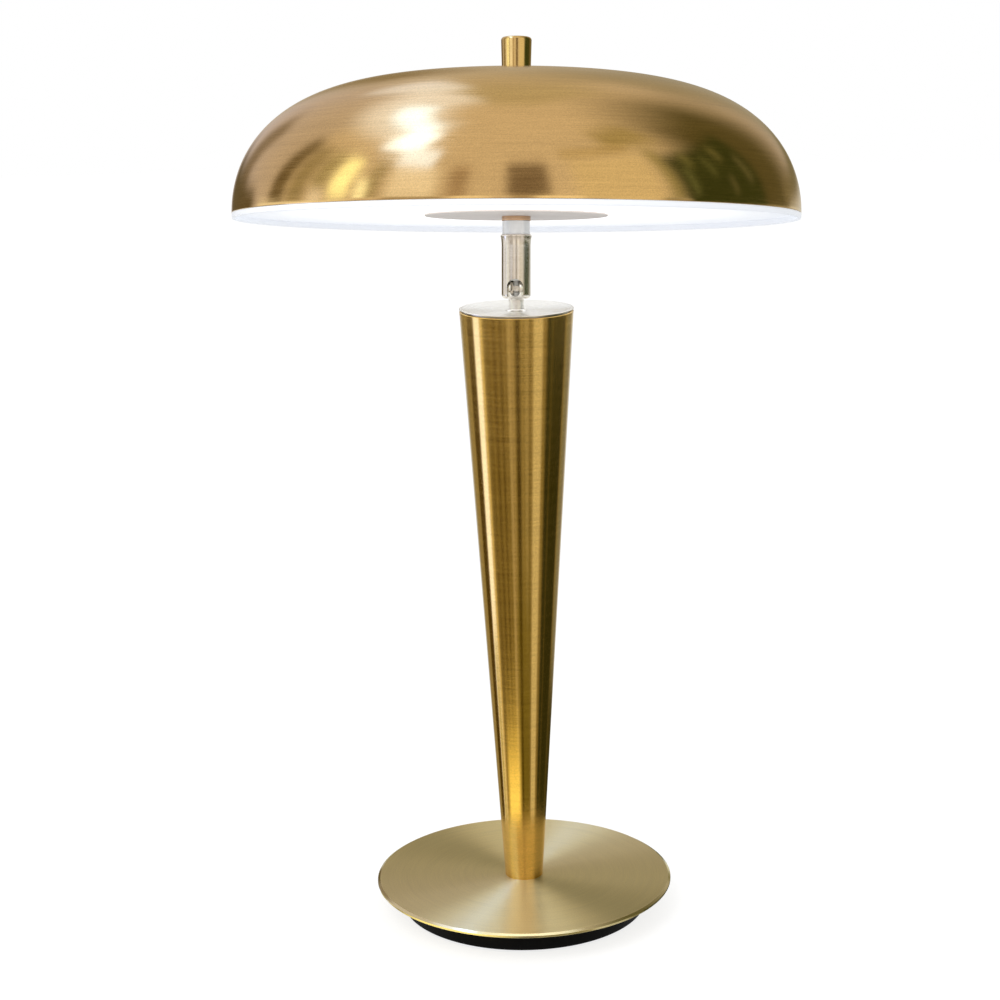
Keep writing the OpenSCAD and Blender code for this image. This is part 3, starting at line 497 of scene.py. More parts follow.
def grained(
    name, colour, second, metallic, rough, scale, depth, stretch=(1, 1, 1), porous=False, **sockets
):
    """A finish in Object coordinates: a fine grain in bump and roughness, and soft clouds of a
    second colour. The grain is noise, or cells for foam and cast surfaces."""
    material, tree, shader = new_material(name, metallic, rough, **sockets)
    cloud = clouds(tree, scale * 0.05, 3, stretch)
    share = spread(tree, cloud, 0.35, 0.68, 0, 1)
    feed(tree, shader, "Base Color", blend(tree, share, (*colour, 1), (*second, 1)))
    if porous:
        inputs = {"Vector": add(tree, "TexCoord").outputs["Object"], "Scale": scale}
        grain = add(tree, "TexVoronoi", inputs).outputs[0]
    else:
        grain = clouds(tree, scale, 2, stretch)
    feed(tree, shader, "Roughness", spread(tree, grain, 0.2, 0.8, rough - 0.06, rough + 0.06))
    raise_by(tree, shader, grain, depth)
    return material


def opal(name, colour, power, radius):
    """Opal acrylic lit from behind: brightest over the lights, cooler and dimmer at its edge."""
    material, tree, shader = new_material(name, 0, 0.35, IOR=1.49)
    shader.inputs["Emission Strength"].default_value = power
    wrap = add(tree, "UVMap", uv_map=WRAP)
    along = add(tree, "SeparateXYZ", {0: wrap.outputs[0]}).outputs[1]
    inner = spread(tree, along, 0.08 * radius, 0.5 * radius, 0, 1)
    outer = spread(tree, along, 0.5 * radius, 0.95 * radius, 0, 1)
    grain = clouds(tree, 60, 2)
    edge_dimming_and_grain = sum_of(tree, "ADD", outer, spread(tree, grain, 0.3, 0.7, -0.03, 0.03))
    middle = shaded(colour, 0.4)
    edge = (colour[0] * 0.16, colour[1] * 0.18, colour[2] * 0.21, 1)
    glow = blend(tree, edge_dimming_and_grain, blend(tree, inner, (*colour, 1), middle), edge)
    feed(tree, shader, "Emission Color", glow)
    # The base colour is painted darker towards the edge too: painted shade near the rim.
    feed(tree, shader, "Base Color", blend(tree, edge_dimming_and_grain, (0.8, 0.8, 0.8, 1), (0.74, 0.74, 0.75, 1)))
    return material


def circuit(name, mask, copper):
    """Circuit board: solder mask over tracks that show as slightly raised, lighter bands."""
    material, tree, shader = new_material(name, 0, 0.3)
    inputs = {
        "Vector": add(tree, "TexCoord").outputs["Object"], "Scale": 260, "Mortar Size": 0.12,
        "Color1": (1, 1, 1, 1), "Color2": (0.7, 0.7, 0.7, 1), "Mortar": (0, 0, 0, 1),
    }
    tracks = add(tree, "TexBrick", inputs)
    feed(tree, shader, "Base Color", blend(tree, tracks.outputs[1], (*mask, 1), (*copper, 1)))
    feed(tree, shader, "Roughness", spread(tree, clouds(tree, 300), 0.3, 0.7, 0.25, 0.4))
    raise_by(tree, shader, tracks.outputs[1], 0.00003)
    return material


def give(piece, material):
    """Gives a new piece its material."""
    piece.data.materials.append(material)


# Operators


class LAMP_OT_shade(bpy.types.Operator):
    """Spin the brass shade"""

    bl_idname = "lamp.shade"
    bl_label = "Shade"

    def execute(self, context):
        head, finish = context.scene.lamp_head, context.scene.lamp_finish
        wall = head.shade_wall
        half = wall / 2
        radius, height = head.shade_radius, head.shade_height
        form = (head.shoulder, head.crown)
        outer = dome_line(head.crown_hole, radius, height, *form)
        inner = dome_line(head.crown_hole, radius - wall, height - wall, *form)
        outer = outer[outer[:, 1] > 1.5 * half]
        inner = inner[inner[:, 1] > 1.5 * half][::-1]
        around = np.linspace(0, math.pi, 9)
        rim = np.stack([radius - half + half * np.cos(around), half - half * np.sin(around)], -1)
        # The rim's round gets a share of 1, so it is painted lighter: partly wear, partly a painted
        # highlight.
        parts = [(outer, 0), (rim, 1), (inner, 0)]
        line = np.concatenate([np.column_stack([p, np.full(len(p), rub)]) for p, rub in parts])
        line[:, 1] += head.rim
        shade = turned("shade_spun", line, sides=360, place=head_place(head))
        brass = brushed_metal(
            "spun_shade_brass", finish.shade_brass, finish.satin, finish.grain,
            around=5, pitch=0.5 * MM, depth=0.002 * MM, contrast=0.14,
        )
        give(shade, brass)
        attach(shade, "head")
        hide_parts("shade")
        return {"FINISHED"}


class LAMP_OT_finial(bpy.types.Operator):
    """Turn the finial that is the push button"""

    bl_idname = "lamp.finial"
    bl_label = "Finial"

    def execute(self, context):
        head, finish = context.scene.lamp_head, context.scene.lamp_finish
        top, wide = head.finial_top, head.finial_radius
        foot = wide - head.finial_taper
        skirt = foot - 0.9 * MM
        ceiling = top - head.finial_roof
        corners = [
            (0, top, 0), (0.6 * wide, top - 0.12 * MM, 20 * MM),
            (wide, top - 0.5 * MM, head.finial_round), (foot, head.finial_foot, 0.25 * MM),
            (skirt, head.finial_foot, 0.2 * MM), (skirt, ceiling, 0.2 * MM), (0, ceiling, 0),
        ]
        line = eased(corners, loop=False, steps=12)
        line[:, 2] *= 0.4
        finial = turned("finial_polished", line, loop=False, sides=144, place=head_place(head))
        give(finial, polished_metal("polished_finial_brass", finish.polished_brass, 0.14))
        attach(finial, "button")
        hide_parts("finial_button")
        return {"FINISHED"}


class LAMP_OT_spring(bpy.types.Operator):
    """Wind the return spring in the finial"""

    bl_idname = "lamp.spring"
    bl_label = "Return spring"

    def execute(self, context):
        head = context.scene.lamp_head
        place = head_place(head)
        wire, foot = head.spring_wire, head.spring_foot
        ceiling = head.finial_top - head.finial_roof
        inset = wire + 0.05 * MM
        low, high = foot + inset, ceiling - inset
        spring = coil("return_spring", wire, head.spring_radius, low, high, place)
        give(spring, grained("spring_steel", *PLAIN_FINISHES["steel"]))
        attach(spring, "head")
        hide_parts("button_spring")
        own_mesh(spring)
        return {"FINISHED"}


class LAMP_OT_diffuser(bpy.types.Operator):
    """Fit the lit opal disc, its cover plate and the polished collar"""

    bl_idname = "lamp.diffuser"
    bl_label = "Diffuser"

    def execute(self, context):
        head, finish = context.scene.lamp_head, context.scene.lamp_finish
        place = head_place(head)
        low = head.plate_foot + head.plate_thick
        high = low + head.diffuser_thick
        skirt = head.rim - head.skirt_drop
        step = head.rim - head.skirt_gap
        inside = head.shade_radius - head.skirt_thick
        wide, wider = head.diffuser_radius, head.shade_radius
        corners = [
            (head.thread, low, 0.2 * MM), (inside, low, 0.3 * MM), (inside, skirt, 0.8 * MM),
            (wider, skirt, 0.8 * MM), (wider, step, 0.15 * MM), (wide, step, 0.1 * MM),
            (wide, high, 0.4 * MM), (head.thread, high, 0.2 * MM),
        ]
        disc = turned("diffuser_opal", eased(corners), sides=360, place=place)
        give(disc, opal("lit_opal", finish.glow, finish.glow_power, wide))
        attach(disc, "head")
        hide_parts("diffuser")
        line = ring(head.thread, head.plate_radius, head.plate_foot, low, (0.1, 0.5, 0.1, 0.1))
        plate = turned("cover_plate_painted", line, place=place)
        warm = finish.plate_paint
        paint = grained("cover_paint", warm, shaded(warm, 0.96)[:3], 0, 0.42, 900, 0.00001)
        give(plate, paint)
        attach(plate, "head")
        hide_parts("cover_plate")
        foot, top = head.collar_foot, head.plate_foot
        line = ring(head.thread, head.collar_radius, foot, top, (0.1, 0.4, 0.2, 0.1))
        collar = turned("collar_polished", line, sides=144, place=place)
        give(collar, polished_metal("polished_collar_brass", finish.collar_brass, 0.12))
        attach(collar, "head")
        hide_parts("stem_collar")
        return {"FINISHED"}


class LAMP_OT_joint(bpy.types.Operator):
    """Turn and slot the sleeve that holds the ball"""

    bl_idname = "lamp.joint"
    bl_label = "Ball joint"

    def execute(self, context):
        joint, finish = context.scene.lamp_joint, context.scene.lamp_finish
        sleeve = slotted_sleeve("sleeve_slotted", joint, head_place(context.scene.lamp_head))
        nickel = brushed_metal(
            "satin_nickel_sleeve", finish.nickel, roughness=0.17, grain=0.6,
            around=1.5, pitch=0.3 * MM, depth=0.001 * MM, contrast=0.05,
        )
        give(sleeve, nickel)
        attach(sleeve, "head")
        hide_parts("joint_sleeve")
        return {"FINISHED"}


def slotted_sleeve(name, joint, place):
    """The slotted sleeve. Its outer and inner skins share rows of height z and columns of angle.
    A row runs round from one edge of the slot to the other, from angle s to a full turn less s,
    where s is the arcsine of the slot's half width at z over the skin's radius, and 0 over the
    arch. The outer radius follows the curled lip, the wall and the flare, and the inner one the
    mouth, the ball seat and the bore. Strips across the wall close the slot and both ends.
    """
    curl_z = joint.curl - joint.drop
    arch_top = joint.slot_rise + joint.slot
    lip_end = joint.lip - joint.drop
    edge_high, edge_in = 0.8 * MM, 0.4 * MM
    flare_z, edge_z = joint.top - joint.flare_height, joint.top - edge_high
    quarter = np.linspace(0, math.pi / 2, 13)
    levels = [
        curl_z - joint.curl * np.cos(quarter), np.linspace(curl_z, joint.slot_rise, 9), [lip_end],
        joint.slot_rise + joint.slot * np.sin(quarter), np.linspace(arch_top, flare_z, 5),
        np.linspace(flare_z, edge_z, 9), edge_z + edge_high * np.sin(quarter),
    ]
    z = np.unique(np.round(np.concatenate(levels), 9))
    curled = np.clip(curl_z - z, 0, joint.curl)
    outer = joint.sleeve - joint.curl + np.sqrt(joint.curl**2 - curled**2)
    flare = np.clip((z - flare_z) / (edge_z - flare_z), 0, 1)
    outer += (joint.flare - joint.sleeve) * flare**2
    edge = np.clip((z - edge_z) / edge_high, 0, 1)
    outer -= edge_in * (1 - np.sqrt(1 - edge**2))
    inner = np.where(z < 0, np.sqrt(np.clip(joint.seat**2 - z**2, 0, None)), joint.seat)
    inner = np.where(z < lip_end + 1e-9, joint.mouth, inner)
    rise = np.clip(z - joint.slot_rise, 0, joint.slot)
    width = np.sqrt(np.clip(joint.slot**2 - rise**2, 0, None))
    width[z >= arch_top - 1e-9] = 0
    columns = 144
    t = np.linspace(0, 1, columns + 1)

    def skin(radius, shift):
        edge_angle = np.arcsin(width / radius)[:, None]
        angle = edge_angle + (math.tau - 2 * edge_angle) * t
        across, up = radius[:, None], z[:, None] + 0 * t
        points = np.stack([-across * np.sin(angle), -across * np.cos(angle), up], -1)
        return points, np.stack([angle / math.tau, up + shift], -1)

    skins = [skin(outer, 0), skin(inner, 100 * MM)]
    points = np.stack([points for points, _ in skins])
    wrap = np.stack([wrap for _, wrap in skins]).reshape(-1, 2)
    o, n = np.arange(len(wrap)).reshape(2, len(z), columns + 1)
    slot = slice(0, int(np.sum(width > 0)) + 1)
    strips = [(n[0], o[0]), (o[-1], n[-1]), (o[slot, 0], n[slot, 0]), (n[slot, -1], o[slot, -1])]
    faces = [cells(o), cells(n)[:, ::-1], *[cells(np.stack(strip)) for strip in strips]]
    faces = np.concatenate(faces)
    piece = mesh_object(name, points, faces, wrap[faces], place=place)
    bevel = piece.modifiers.new("edges", "BEVEL")
    bevel.width = 0.12 * MM
    bevel.segments = 3
    bevel.limit_method = "ANGLE"
    bevel.angle_limit = math.radians(40)
    bevel.harden_normals = True
    return piece


class LAMP_OT_column(bpy.types.Operator):
    """Turn the tapered column and its dished cap"""

    bl_idname = "lamp.column"
    bl_label = "Column"

    def execute(self, context):
        body, finish = context.scene.lamp_body, context.scene.lamp_finish
        lip = body.top - 0.3 * MM
        wide, narrow = body.top_radius, body.foot_radius
        corners = [
            (narrow - body.wall, body.foot, 0), (narrow, body.foot, 0.15 * MM),
            (wide - 0.02 * MM, lip - 0.45 * MM, 0.12 * MM), (wide - 0.5 * MM, lip, 0.1 * MM),
            (wide - body.wall, lip, 0.1 * MM),
        ]
        column = turned("column_brushed", eased(corners), sides=240)
        brass = brushed_metal(
            "brushed_column_brass", finish.column_brass, 0.16, finish.grain,
            around=1.2, pitch=0.4 * MM, depth=0.0015 * MM, contrast=0.14,
        )
        give(column, brass)
        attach(column, "base")
        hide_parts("column")
        rim = body.top + body.cap_gap
        high = rim + body.cap_rim
        dish = high - body.cap_dish
        outer = wide - 1 * MM
        inner = 7.6 * MM
        bore = 5.05 * MM
        boss, boss_foot = 12 * MM, dish - 8 * MM
        under = dish - 2.6 * MM
        pocket, pocket_floor = 6.95 * MM, dish - 1.35 * MM
        spigot = wide - body.wall - 0.6 * MM
        spigot_inside, spigot_foot = spigot - 1.5 * MM, body.top - 8 * MM
        groove, groove_floor = spigot - 3 * MM, lip - 1 * MM
        edge = 0.2 * MM
        t = np.linspace(1, 0, 25)
        bowl = [(inner + (outer - inner) * s, dish + body.cap_dish * s * s, 0) for s in t]
        corners = [
            (bore, boss_foot, 0), (boss, boss_foot, edge), (boss, under, edge),
            (spigot_inside, under, edge), (spigot_inside, spigot_foot, edge),
            (spigot, spigot_foot, edge), (spigot, groove_floor, 0), (groove, groove_floor, 0),
            (groove, rim, 0), (wide, rim, 0.12 * MM), (wide, high, edge), *bowl,
            (pocket, dish, 0.1 * MM), (pocket, pocket_floor, 0), (bore, pocket_floor, 0),
        ]
        cap = turned("cap_dished", eased(corners), sides=240)
        nickel = brushed_metal(
            "satin_nickel_cap", finish.cap_nickel_painted_light, roughness=0.27, grain=0.7,
            around=2, pitch=0.4 * MM, depth=0.002 * MM, contrast=0.04,
        )
        give(cap, nickel)
        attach(cap, "base")
        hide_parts("column_cap")
        return {"FINISHED"}


class LAMP_OT_base(bpy.types.Operator):
    """Turn the bevelled brass disc"""

    bl_idname = "lamp.base"
    bl_label = "Base disc"

    def execute(self, context):
        body, finish = context.scene.lamp_body, context.scene.lamp_finish
        low, high, wide = body.foot - body.disc_thick, body.foot, body.disc_radius
        slope_start = wide - body.disc_slope
        corners = [
            (body.disc_bore, low, 0.1 * MM), (wide - 0.4 * MM, low, 0.1 * MM),
            (wide, low + 0.4 * MM, 0.15 * MM), (wide, high - body.disc_bevel, 0.15 * MM),
            (slope_start, high, 0.2 * MM), (body.disc_bore, high, 0.1 * MM),
        ]
        line = eased(corners)
        # The whole bevel gets a share of 1, so it is painted lighter and made smoother along its
        # length: a painted highlight.
        bevel_highlight = (line[:, 0] > slope_start - 0.1 * MM) & (line[:, 1] > low + 1 * MM)
        line[bevel_highlight, 2] = 1
        disc = turned("base_disc_brushed", line, sides=360)
        brass = brushed_metal(
            "brushed_disc_brass", finish.disc_brass, roughness=0.41, grain=0.97,
            around=3, pitch=0.5 * MM, depth=0.002 * MM, contrast=0.08, shine=0.3,
        )
        give(disc, brass)
        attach(disc, "base")
        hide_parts("base_disc")
        return {"FINISHED"}


# Each finish is its colour, second colour, metal share, roughness, grains to the metre and
# depth of the grain in metres.
PLAIN_FINISHES = {
    "steel": ((0.56, 0.57, 0.6), (0.48, 0.5, 0.56), 1, 0.34, 1500, 3e-6),
    "aluminium": ((0.74, 0.74, 0.75), (0.68, 0.68, 0.7), 1, 0.38, 1100, 3e-6),
    "cast_iron": ((0.055, 0.055, 0.06), (0.035, 0.035, 0.038), 0.6, 0.7, 700, 1.2e-4),
    "black_plastic": ((0.0018, 0.0017, 0.0016), (0.003, 0.003, 0.003), 0, 0.46, 2600, 1.5e-5),
    "rubber": ((0.02, 0.02, 0.021), (0.03, 0.03, 0.031), 0, 0.86, 1500, 6e-5),
    "foam": ((0.16, 0.17, 0.2), (0.12, 0.13, 0.16), 0, 0.9, 1300, 1e-4),
    "battery_foil": ((0.5, 0.51, 0.54), (0.42, 0.43, 0.47), 0.9, 0.3, 160, 1.2e-4),
    "red_insulation": ((0.42, 0.03, 0.02), (0.34, 0.02, 0.015), 0, 0.42, 2000, 6e-6),
    "black_insulation": ((0.022, 0.022, 0.023), (0.032, 0.032, 0.033), 0, 0.5, 2000, 8e-6),
    "white_insulation": ((0.8, 0.79, 0.75), (0.72, 0.71, 0.66), 0, 0.4, 2000, 6e-6),
    "white_board": ((0.8, 0.81, 0.82), (0.74, 0.75, 0.77), 0, 0.34, 900, 8e-6),
    "led_phosphor": ((0.92, 0.74, 0.2), (0.86, 0.64, 0.14), 0, 0.4, 2600, 1e-5),
    "white_nylon": ((0.76, 0.76, 0.72), (0.7, 0.7, 0.66), 0, 0.4, 1200, 1e-5),
}
# These two pieces have a finish of their own, with its name first.
OWN_FINISHES = {
    # The stem's nickel is painted whiter and bluer than nickel: painted light from the lit diffuser
    # just above it.
    "stem_tube": (
        "nickel_stem_painted_glow", (0.93, 0.95, 0.97), (0.78, 0.82, 0.85), 0.35, 0.34, 3600, 2e-6,
        (1.6, 1.6, 0.05),
    ),
    "ball_post": (
        "bright_nickel_ball", (0.94, 0.93, 0.9), (0.88, 0.87, 0.83), 1, 0.2, 1200, 1e-6
    ),
}
# These also have a grain of cells, a grain drawn out one way or a dull skin.
FINISH_DETAILS = {
    "aluminium": {"stretch": (1, 0.08, 1)},
    "black_plastic": {"Specular_IOR_Level": 0.06},
    **dict.fromkeys(("cast_iron", "rubber", "foam", "led_phosphor"), {"porous": True}),
}


class LAMP_OT_inner(bpy.types.Operator):
    """Give every piece that keeps its own shape the finish of its material"""

    bl_idname = "lamp.inner"
    bl_label = "Inner pieces"

    def execute(self, context):
        made = {"green_board": circuit("circuit_board", (0.01, 0.085, 0.035), (0.03, 0.15, 0.06))}
        for slot, facts in PLAIN_FINISHES.items():
            made[slot] = grained("plain_" + slot, *facts, **FINISH_DETAILS.get(slot, {}))
        own = {name: grained(*facts) for name, facts in OWN_FINISHES.items()}
        for name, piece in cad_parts.items():
            if piece.hide_render:
                continue
            slot = piece.data.materials[0].name.split(".")[0]
            finish = own.get(name) or made.get(slot)
            if finish is None:
                raise RuntimeError(f"{name} has no plain finish of {slot}: its own part comes first")
            for holder in piece.material_slots:
                holder.material = finish
        return {"FINISHED"}


# The studio


def soft_card(azimuth, height, card):
    """How much of a card shows at an azimuth and a height: 1 inside it, 0 outside, with a smooth
    step as wide as its softness at each edge."""
    middle, level, half_width, half_height, soft = card[:5]
    across = np.abs((azimuth - middle + 180) % 360 - 180) - half_width
    upright = np.abs(height - level) - half_height
    a = np.clip(0.5 - across / (2 * soft), 0, 1)
    b = np.clip(0.5 - upright / (2 * soft), 0, 1)
    return a * a * (3 - 2 * a) * b * b * (3 - 2 * b)


def card_wall(name, points, azimuth, height, ground, cards):
    """A wall of soft cards that only mirrors see. Each point's colour starts as the ground, and
    each card in turn is laid over it."""
    colour = np.full(points.shape, ground, float)
    for card in cards:
        share = soft_card(azimuth, height, card)[..., None]
        colour += share * (card[5:] - colour)
    wall = bare_mesh(name, points, grid_faces(*azimuth.shape))
    layer = wall.data.color_attributes.new("Glow", "FLOAT_COLOR", "POINT")
    opaque = np.concatenate([colour, np.ones_like(colour[..., :1])], -1)
    layer.data.foreach_set("color", opaque.astype(np.float32).ravel())
    material = bpy.data.materials.new(name)
    tree = blank_tree(material)
    shown = add(tree, "Attribute", attribute_name="Glow").outputs["Color"]
    show(tree, add(tree, "Emission", {"Color": shown, "Strength": 1}))
    give(wall, material)
    for ray in ("camera", "diffuse", "shadow", "volume_scatter"):
        setattr(wall, "visible_" + ray, False)


# Each card is its azimuth, height, half width, half height, softness and colour. Azimuth 0 is
# on the camera's side and grows to the right. On the tent a height is an angle, and on the mat
# it is the distance from the lamp in centimetres.
TENT_GROUND = (0.7, 0.61, 0.54)
TENT_CARDS = [
    (-142, 20, 32, 34, 8, 0.58, 0.52, 0.53),
    (180, 24, 16, 40, 8, 0.56, 0.49, 0.38),
    (165, 18, 12, 20, 8, 0.38, 0.34, 0.25),
    (178, 66, 26, 14, 7, 0.54, 0.48, 0.36),
    (114, 22, 32, 40, 20, 0.11, 0.095, 0.04),
    (66, 56, 16, 8, 6, 0.42, 0.36, 0.2),
    (40, 48, 18, 3.5, 3, 0.52, 0.43, 0.27),
    (66, 26, 4, 18, 4, 0.36, 0.33, 0.18),
    (91, 13, 23, 25, 3.5, 0.045, 0.055, 0.015),
    (80, 33, 2, 5, 2, 0.18, 0.19, 0.08),
    (89, 26, 1, 6, 2, 0.16, 0.18, 0.08),
    (99, 31, 2, 4, 2, 0.18, 0.18, 0.08),
    (75, 19, 1, 8, 2, 0.18, 0.21, 0.1),
    (96, 13, 1, 5, 2, 0.15, 0.15, 0.08),
    (108, 19, 1.5, 7, 2, 0.15, 0.15, 0.08),
    (-108, 62, 54, 11, 6, 1, 1.08, 1.5),
    (-163, 46, 7, 9, 3, 1, 1.1, 1.5),
    (-172, 16, 5, 9, 4, 0.28, 0.21, 0.1),
    (-98, 65, 34, 4.5, 3, 1.5, 2.1, 3.9),
    (-61, 55, 11, 9, 3, 1.8, 2.4, 4.3),
    (-46, 43, 9, 7.5, 2.5, 1.3, 1.6, 2.7),
    (-42, 22, 10, 12, 3, 1.02, 0.98, 1),
    (-144, 14, 6, 12, 4, 0.26, 0.21, 0.16),
    (-108, 20, 5, 18, 3, 0.16, 0.12, 0.06),
    (-96, 20, 5, 18, 4, 0.34, 0.29, 0.18),
    (-85, 26, 4, 12, 3, 0.38, 0.34, 0.2),
    (-84, 8, 4, 6, 3, 0.95, 0.92, 1),
    (-73, 6, 4.5, 6, 2, 0.95, 0.92, 0.75),
    (-74, 24, 4.5, 12, 2, 1.6, 1.7, 1.2),
    (-59, 24, 3.5, 14, 2.5, 0.42, 0.37, 0.25),
    (-63, 16, 2.5, 7, 1.5, 1.5, 1.6, 1.4),
    (-23, 24, 4, 14, 3, 0.44, 0.34, 0.26),
    (5, 27, 8.5, 14, 2.5, 0.2, 0.15, 0.11),
    (42, 22, 18, 20, 4, 0.76, 0.66, 0.5),
    (-143, -2, 18, 8, 4, 0.13, 0.1, 0.05),
    (-92, -3, 28, 6, 3, 0.92, 0.88, 0.82),
    (-40, 4, 12, 6, 3, 0.44, 0.38, 0.31),
    (-17, 4, 7, 7, 3, 1, 0.9, 0.76),
    (4, 5, 6, 7, 2, 0.44, 0.36, 0.26),
    (16, 4, 9, 7, 3, 1.05, 0.94, 0.78),
    (63, 2, 6, 6, 3, 0.36, 0.33, 0.25),
    (104, -10, 32, 5, 2.5, 0.6, 0.57, 0.46),
    (148, 2, 16, 4, 3, 0.2, 0.17, 0.09),
    (150, -8, 14, 6, 3, 0.66, 0.65, 0.59),
]
MAT_GROUND = (0.24, 0.2, 0.1)
# Each stripe runs from the lamp to the mat's edge: its azimuth, half width, softness and colour.
MAT_STRIPES = [
    (180, 30, 8, 0.6, 0.63, 0.66),
    (-135, 16, 8, 0.32, 0.28, 0.16),
    (-112, 10, 3, 0.07, 0.045, 0),
    (-91, 8.5, 2, 1.35, 1.5, 2.4),
    (-79, 3.5, 2.5, 0.72, 0.63, 0.4),
    (-47, 24, 4, 0.16, 0.125, 0.045),
    (-57, 1.2, 1.2, 0.26, 0.21, 0.09),
    (-49, 1, 1, 0.07, 0.05, 0.01),
    (-41, 1.5, 1.2, 0.25, 0.2, 0.09),
    (-35, 1, 1, 0.08, 0.06, 0.01),
    (-28, 1.2, 1.2, 0.27, 0.22, 0.11),
    (-14, 6, 2.5, 0.42, 0.37, 0.27),
    (-12, 1, 1, 0.22, 0.18, 0.1),
    (1, 4.5, 2.5, 0.05, 0.035, 0),
    (10, 1.2, 1.2, 0.33, 0.28, 0.15),
    (20, 4, 3, 0.36, 0.32, 0.21),
    (27, 1.2, 1.2, 0.13, 0.1, 0.03),
    (45, 10.5, 2.5, 0.64, 0.6, 0.5),
    (92, 27, 4, 0.035, 0.035, 0.01),
    (80, 2, 2, 0.09, 0.08, 0.03),
    (137, 13, 7, 0.24, 0.24, 0.2),
]
MAT_CARDS = [(a, 120, w, 300, *rest) for a, w, *rest in MAT_STRIPES] + [
    (140, 10, 22, 34, 10, 0.05, 0.045, 0.01),
    (10, 15, 21, 40, 6, 0.17, 0.145, 0.03),
    (1, 15, 4, 40, 2.5, 0.08, 0.06, 0),
    (-91, 25, 7, 25, 4, 0.6, 0.55, 0.3),
    (-38, 0, 27, 24, 12, 1.5, 1.3, 0.55),
]


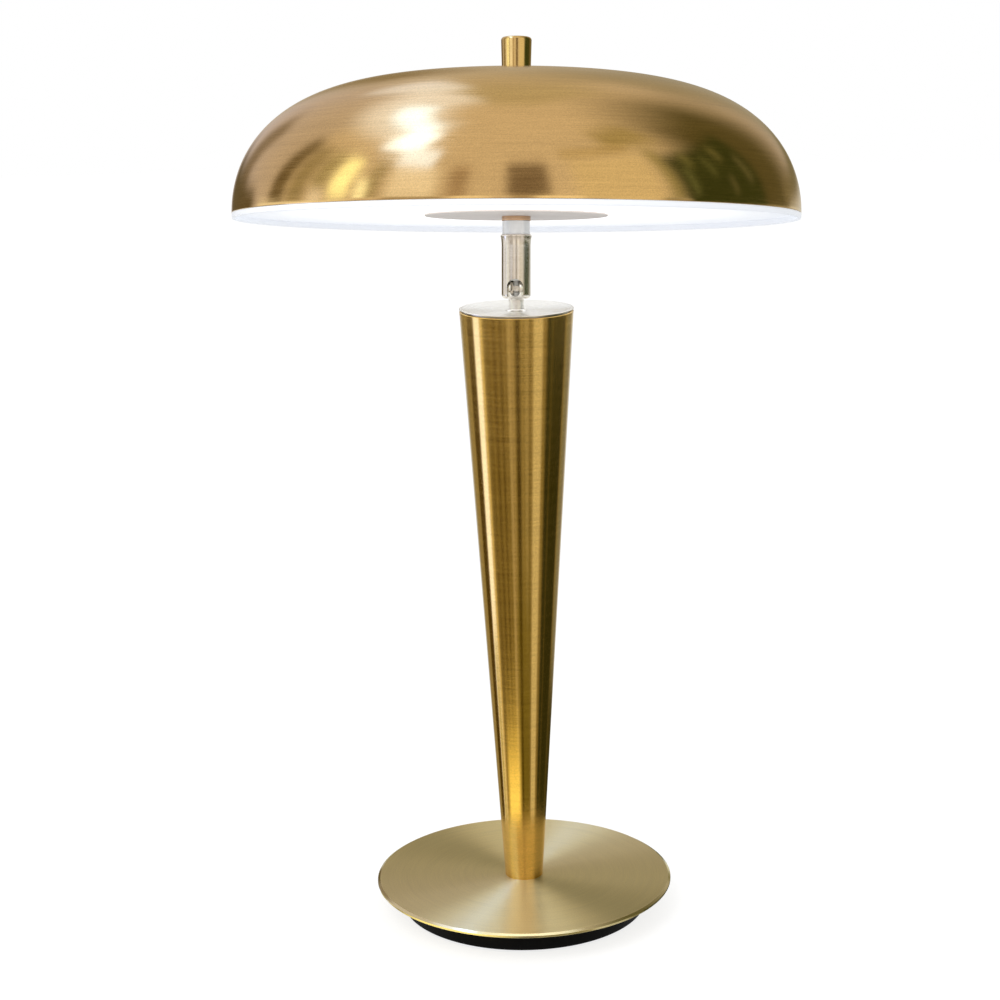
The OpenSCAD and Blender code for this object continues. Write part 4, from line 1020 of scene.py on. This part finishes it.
class LAMP_OT_stage(bpy.types.Operator):
    """Set up floor, soft light, cards and camera"""

    bl_idname = "lamp.stage"
    bl_label = "Studio"

    def execute(self, context):
        studio = context.scene.lamp_studio
        self.floor()
        self.cards()
        self.light(studio)
        self.camera(studio)
        return {"FINISHED"}

    def floor(self):
        """A round pale floor that stays white under the camera and keeps the lamp's shadow."""
        sides = 96
        angle = np.linspace(0, math.tau, sides, endpoint=False)
        rings = np.array([0.0005, 0.3, 1, 6])[:, None]
        level = np.full((len(rings), sides), -0.2 * MM)
        flat = np.stack([rings * np.cos(angle), rings * np.sin(angle), level], -1)
        floor = bare_mesh("floor", flat, grid_faces(len(rings), sides))
        material = bpy.data.materials.new("pale_floor")
        tree = blank_tree(material)
        matt = add(tree, "BsdfDiffuse", {"Color": (0.9, 0.9, 0.9, 1)})
        thin = add(tree, "BsdfDiffuse", {"Color": (0.3, 0.3, 0.3, 1)})
        white = add(tree, "Emission", {"Color": (1, 1, 1, 1), "Strength": 0.78})
        shown = add(tree, "AddShader", {0: thin.outputs[0], 1: white.outputs[0]})
        inputs = {0: self.seen(tree), 1: matt.outputs[0], 2: shown.outputs[0]}
        show(tree, add(tree, "MixShader", inputs))
        give(floor, material)

    def seen(self, tree):
        """1 for rays from the camera, from mirrors and through glass, else 0."""
        path = add(tree, "LightPath").outputs
        glossy = sum_of(tree, "MAXIMUM", path["Is Camera Ray"], path["Is Glossy Ray"])
        return sum_of(tree, "MAXIMUM", glossy, path["Is Transmission Ray"])

    def cards(self):
        """A wide tent of soft cards over the lamp and a mat of flags on the floor round it. A
        point of the tent at azimuth a and height angle h lies at radius times cos h sin a,
        -cos h cos a, sin h, and a point of the mat at its distance times sin a, -cos a."""
        azimuth = np.linspace(-180, 180, 360, endpoint=False)
        rise = np.linspace(-9, 90, 100)
        a, h = np.meshgrid(np.radians(azimuth), np.radians(rise))
        radius, middle = 2.5, 0.4
        tent = radius * np.stack([np.cos(h) * np.sin(a), -np.cos(h) * np.cos(a), np.sin(h)], -1)
        tent[..., 2] += middle
        card_wall("studio_tent", tent, np.degrees(a), np.degrees(h), TENT_GROUND, TENT_CARDS)
        distance = np.geomspace(0.1, 2.45, 60)
        a, d = np.meshgrid(np.radians(azimuth), distance)
        mat = np.stack([d * np.sin(a), -d * np.cos(a), np.full_like(a, 0.4 * MM)], -1)
        card_wall("studio_mat", mat, np.degrees(a), 100 * d, MAT_GROUND, MAT_CARDS)

    def light(self, studio):
        """Even light from all round and one large soft key light."""
        world = bpy.data.worlds.new("studio")
        bpy.context.scene.world = world
        tree = blank_tree(world)
        inputs = {"Color": (1, 0.99, 0.975, 1), "Strength": studio.soft_light}
        around = add(tree, "Background", inputs)
        white = add(tree, "Background", {"Color": (1, 1, 1, 1), "Strength": 1})
        inputs = {0: self.seen(tree), 1: around.outputs[0], 2: white.outputs[0]}
        show(tree, add(tree, "MixShader", inputs), "OutputWorld")
        key = bpy.data.lights.new("key", "AREA")
        key.energy = studio.key_light
        key.size = 1
        lamp = placed("key", key)
        lamp.location = (-0.7, -0.9, 1.5)
        lamp.rotation_euler = (math.radians(40), 0, math.radians(-38))
        lamp.visible_glossy = False

    def camera(self, studio):
        """The camera, from its pitch, yaw and roll."""
        data = bpy.data.cameras.new("camera")
        data.sensor_width = 36
        data.lens = studio.lens
        data.clip_end = 100
        camera = placed("camera", data)
        camera.matrix_world = (
            Matrix.Translation((0, -studio.distance, studio.height))
            @ Matrix.Rotation(-studio.yaw, 4, "Z")
            @ Matrix.Rotation(math.pi / 2 - studio.pitch, 4, "X")
            @ Matrix.Rotation(studio.roll, 4, "Z")
        )
        scene = bpy.context.scene
        scene.camera = camera
        scene.view_settings.view_transform = "Standard"


class LAMP_PT_build(bpy.types.Panel):
    """Buttons and sizes in the 3D view's sidebar"""

    bl_idname = "LAMP_PT_build"
    bl_label = "Table lamp"
    bl_space_type = "VIEW_3D"
    bl_region_type = "UI"
    bl_category = "Lamp"

    def draw(self, context):
        for operator in OPERATORS:
            self.layout.operator(operator.bl_idname)
        for name, kind in GROUPS.items():
            box = self.layout.box()
            box.label(text=name.replace("lamp_", "").capitalize())
            for key in kind.__annotations__:
                box.prop(getattr(context.scene, name), key)


GROUPS = {
    "lamp_head": HeadSizes,
    "lamp_joint": JointSizes,
    "lamp_body": BodySizes,
    "lamp_finish": Finishes,
    "lamp_studio": Studio,
}
OPERATORS = (
    LAMP_OT_shade, LAMP_OT_finial, LAMP_OT_spring, LAMP_OT_diffuser, LAMP_OT_joint,
    LAMP_OT_column, LAMP_OT_base, LAMP_OT_inner, LAMP_OT_stage,
)
CLASSES = (*GROUPS.values(), *OPERATORS, LAMP_PT_build)


def register():
    for kind in CLASSES:
        bpy.utils.register_class(kind)
    for name, kind in GROUPS.items():
        setattr(bpy.types.Scene, name, PointerProperty(type=kind))


def unregister():
    for name in GROUPS:
        delattr(bpy.types.Scene, name)
    for kind in reversed(CLASSES):
        bpy.utils.unregister_class(kind)


def main():
    register()
    for operator in OPERATORS:
        group, name = operator.bl_idname.split(".")
        getattr(getattr(bpy.ops, group), name)()


if __name__ == "__main__":
    main()
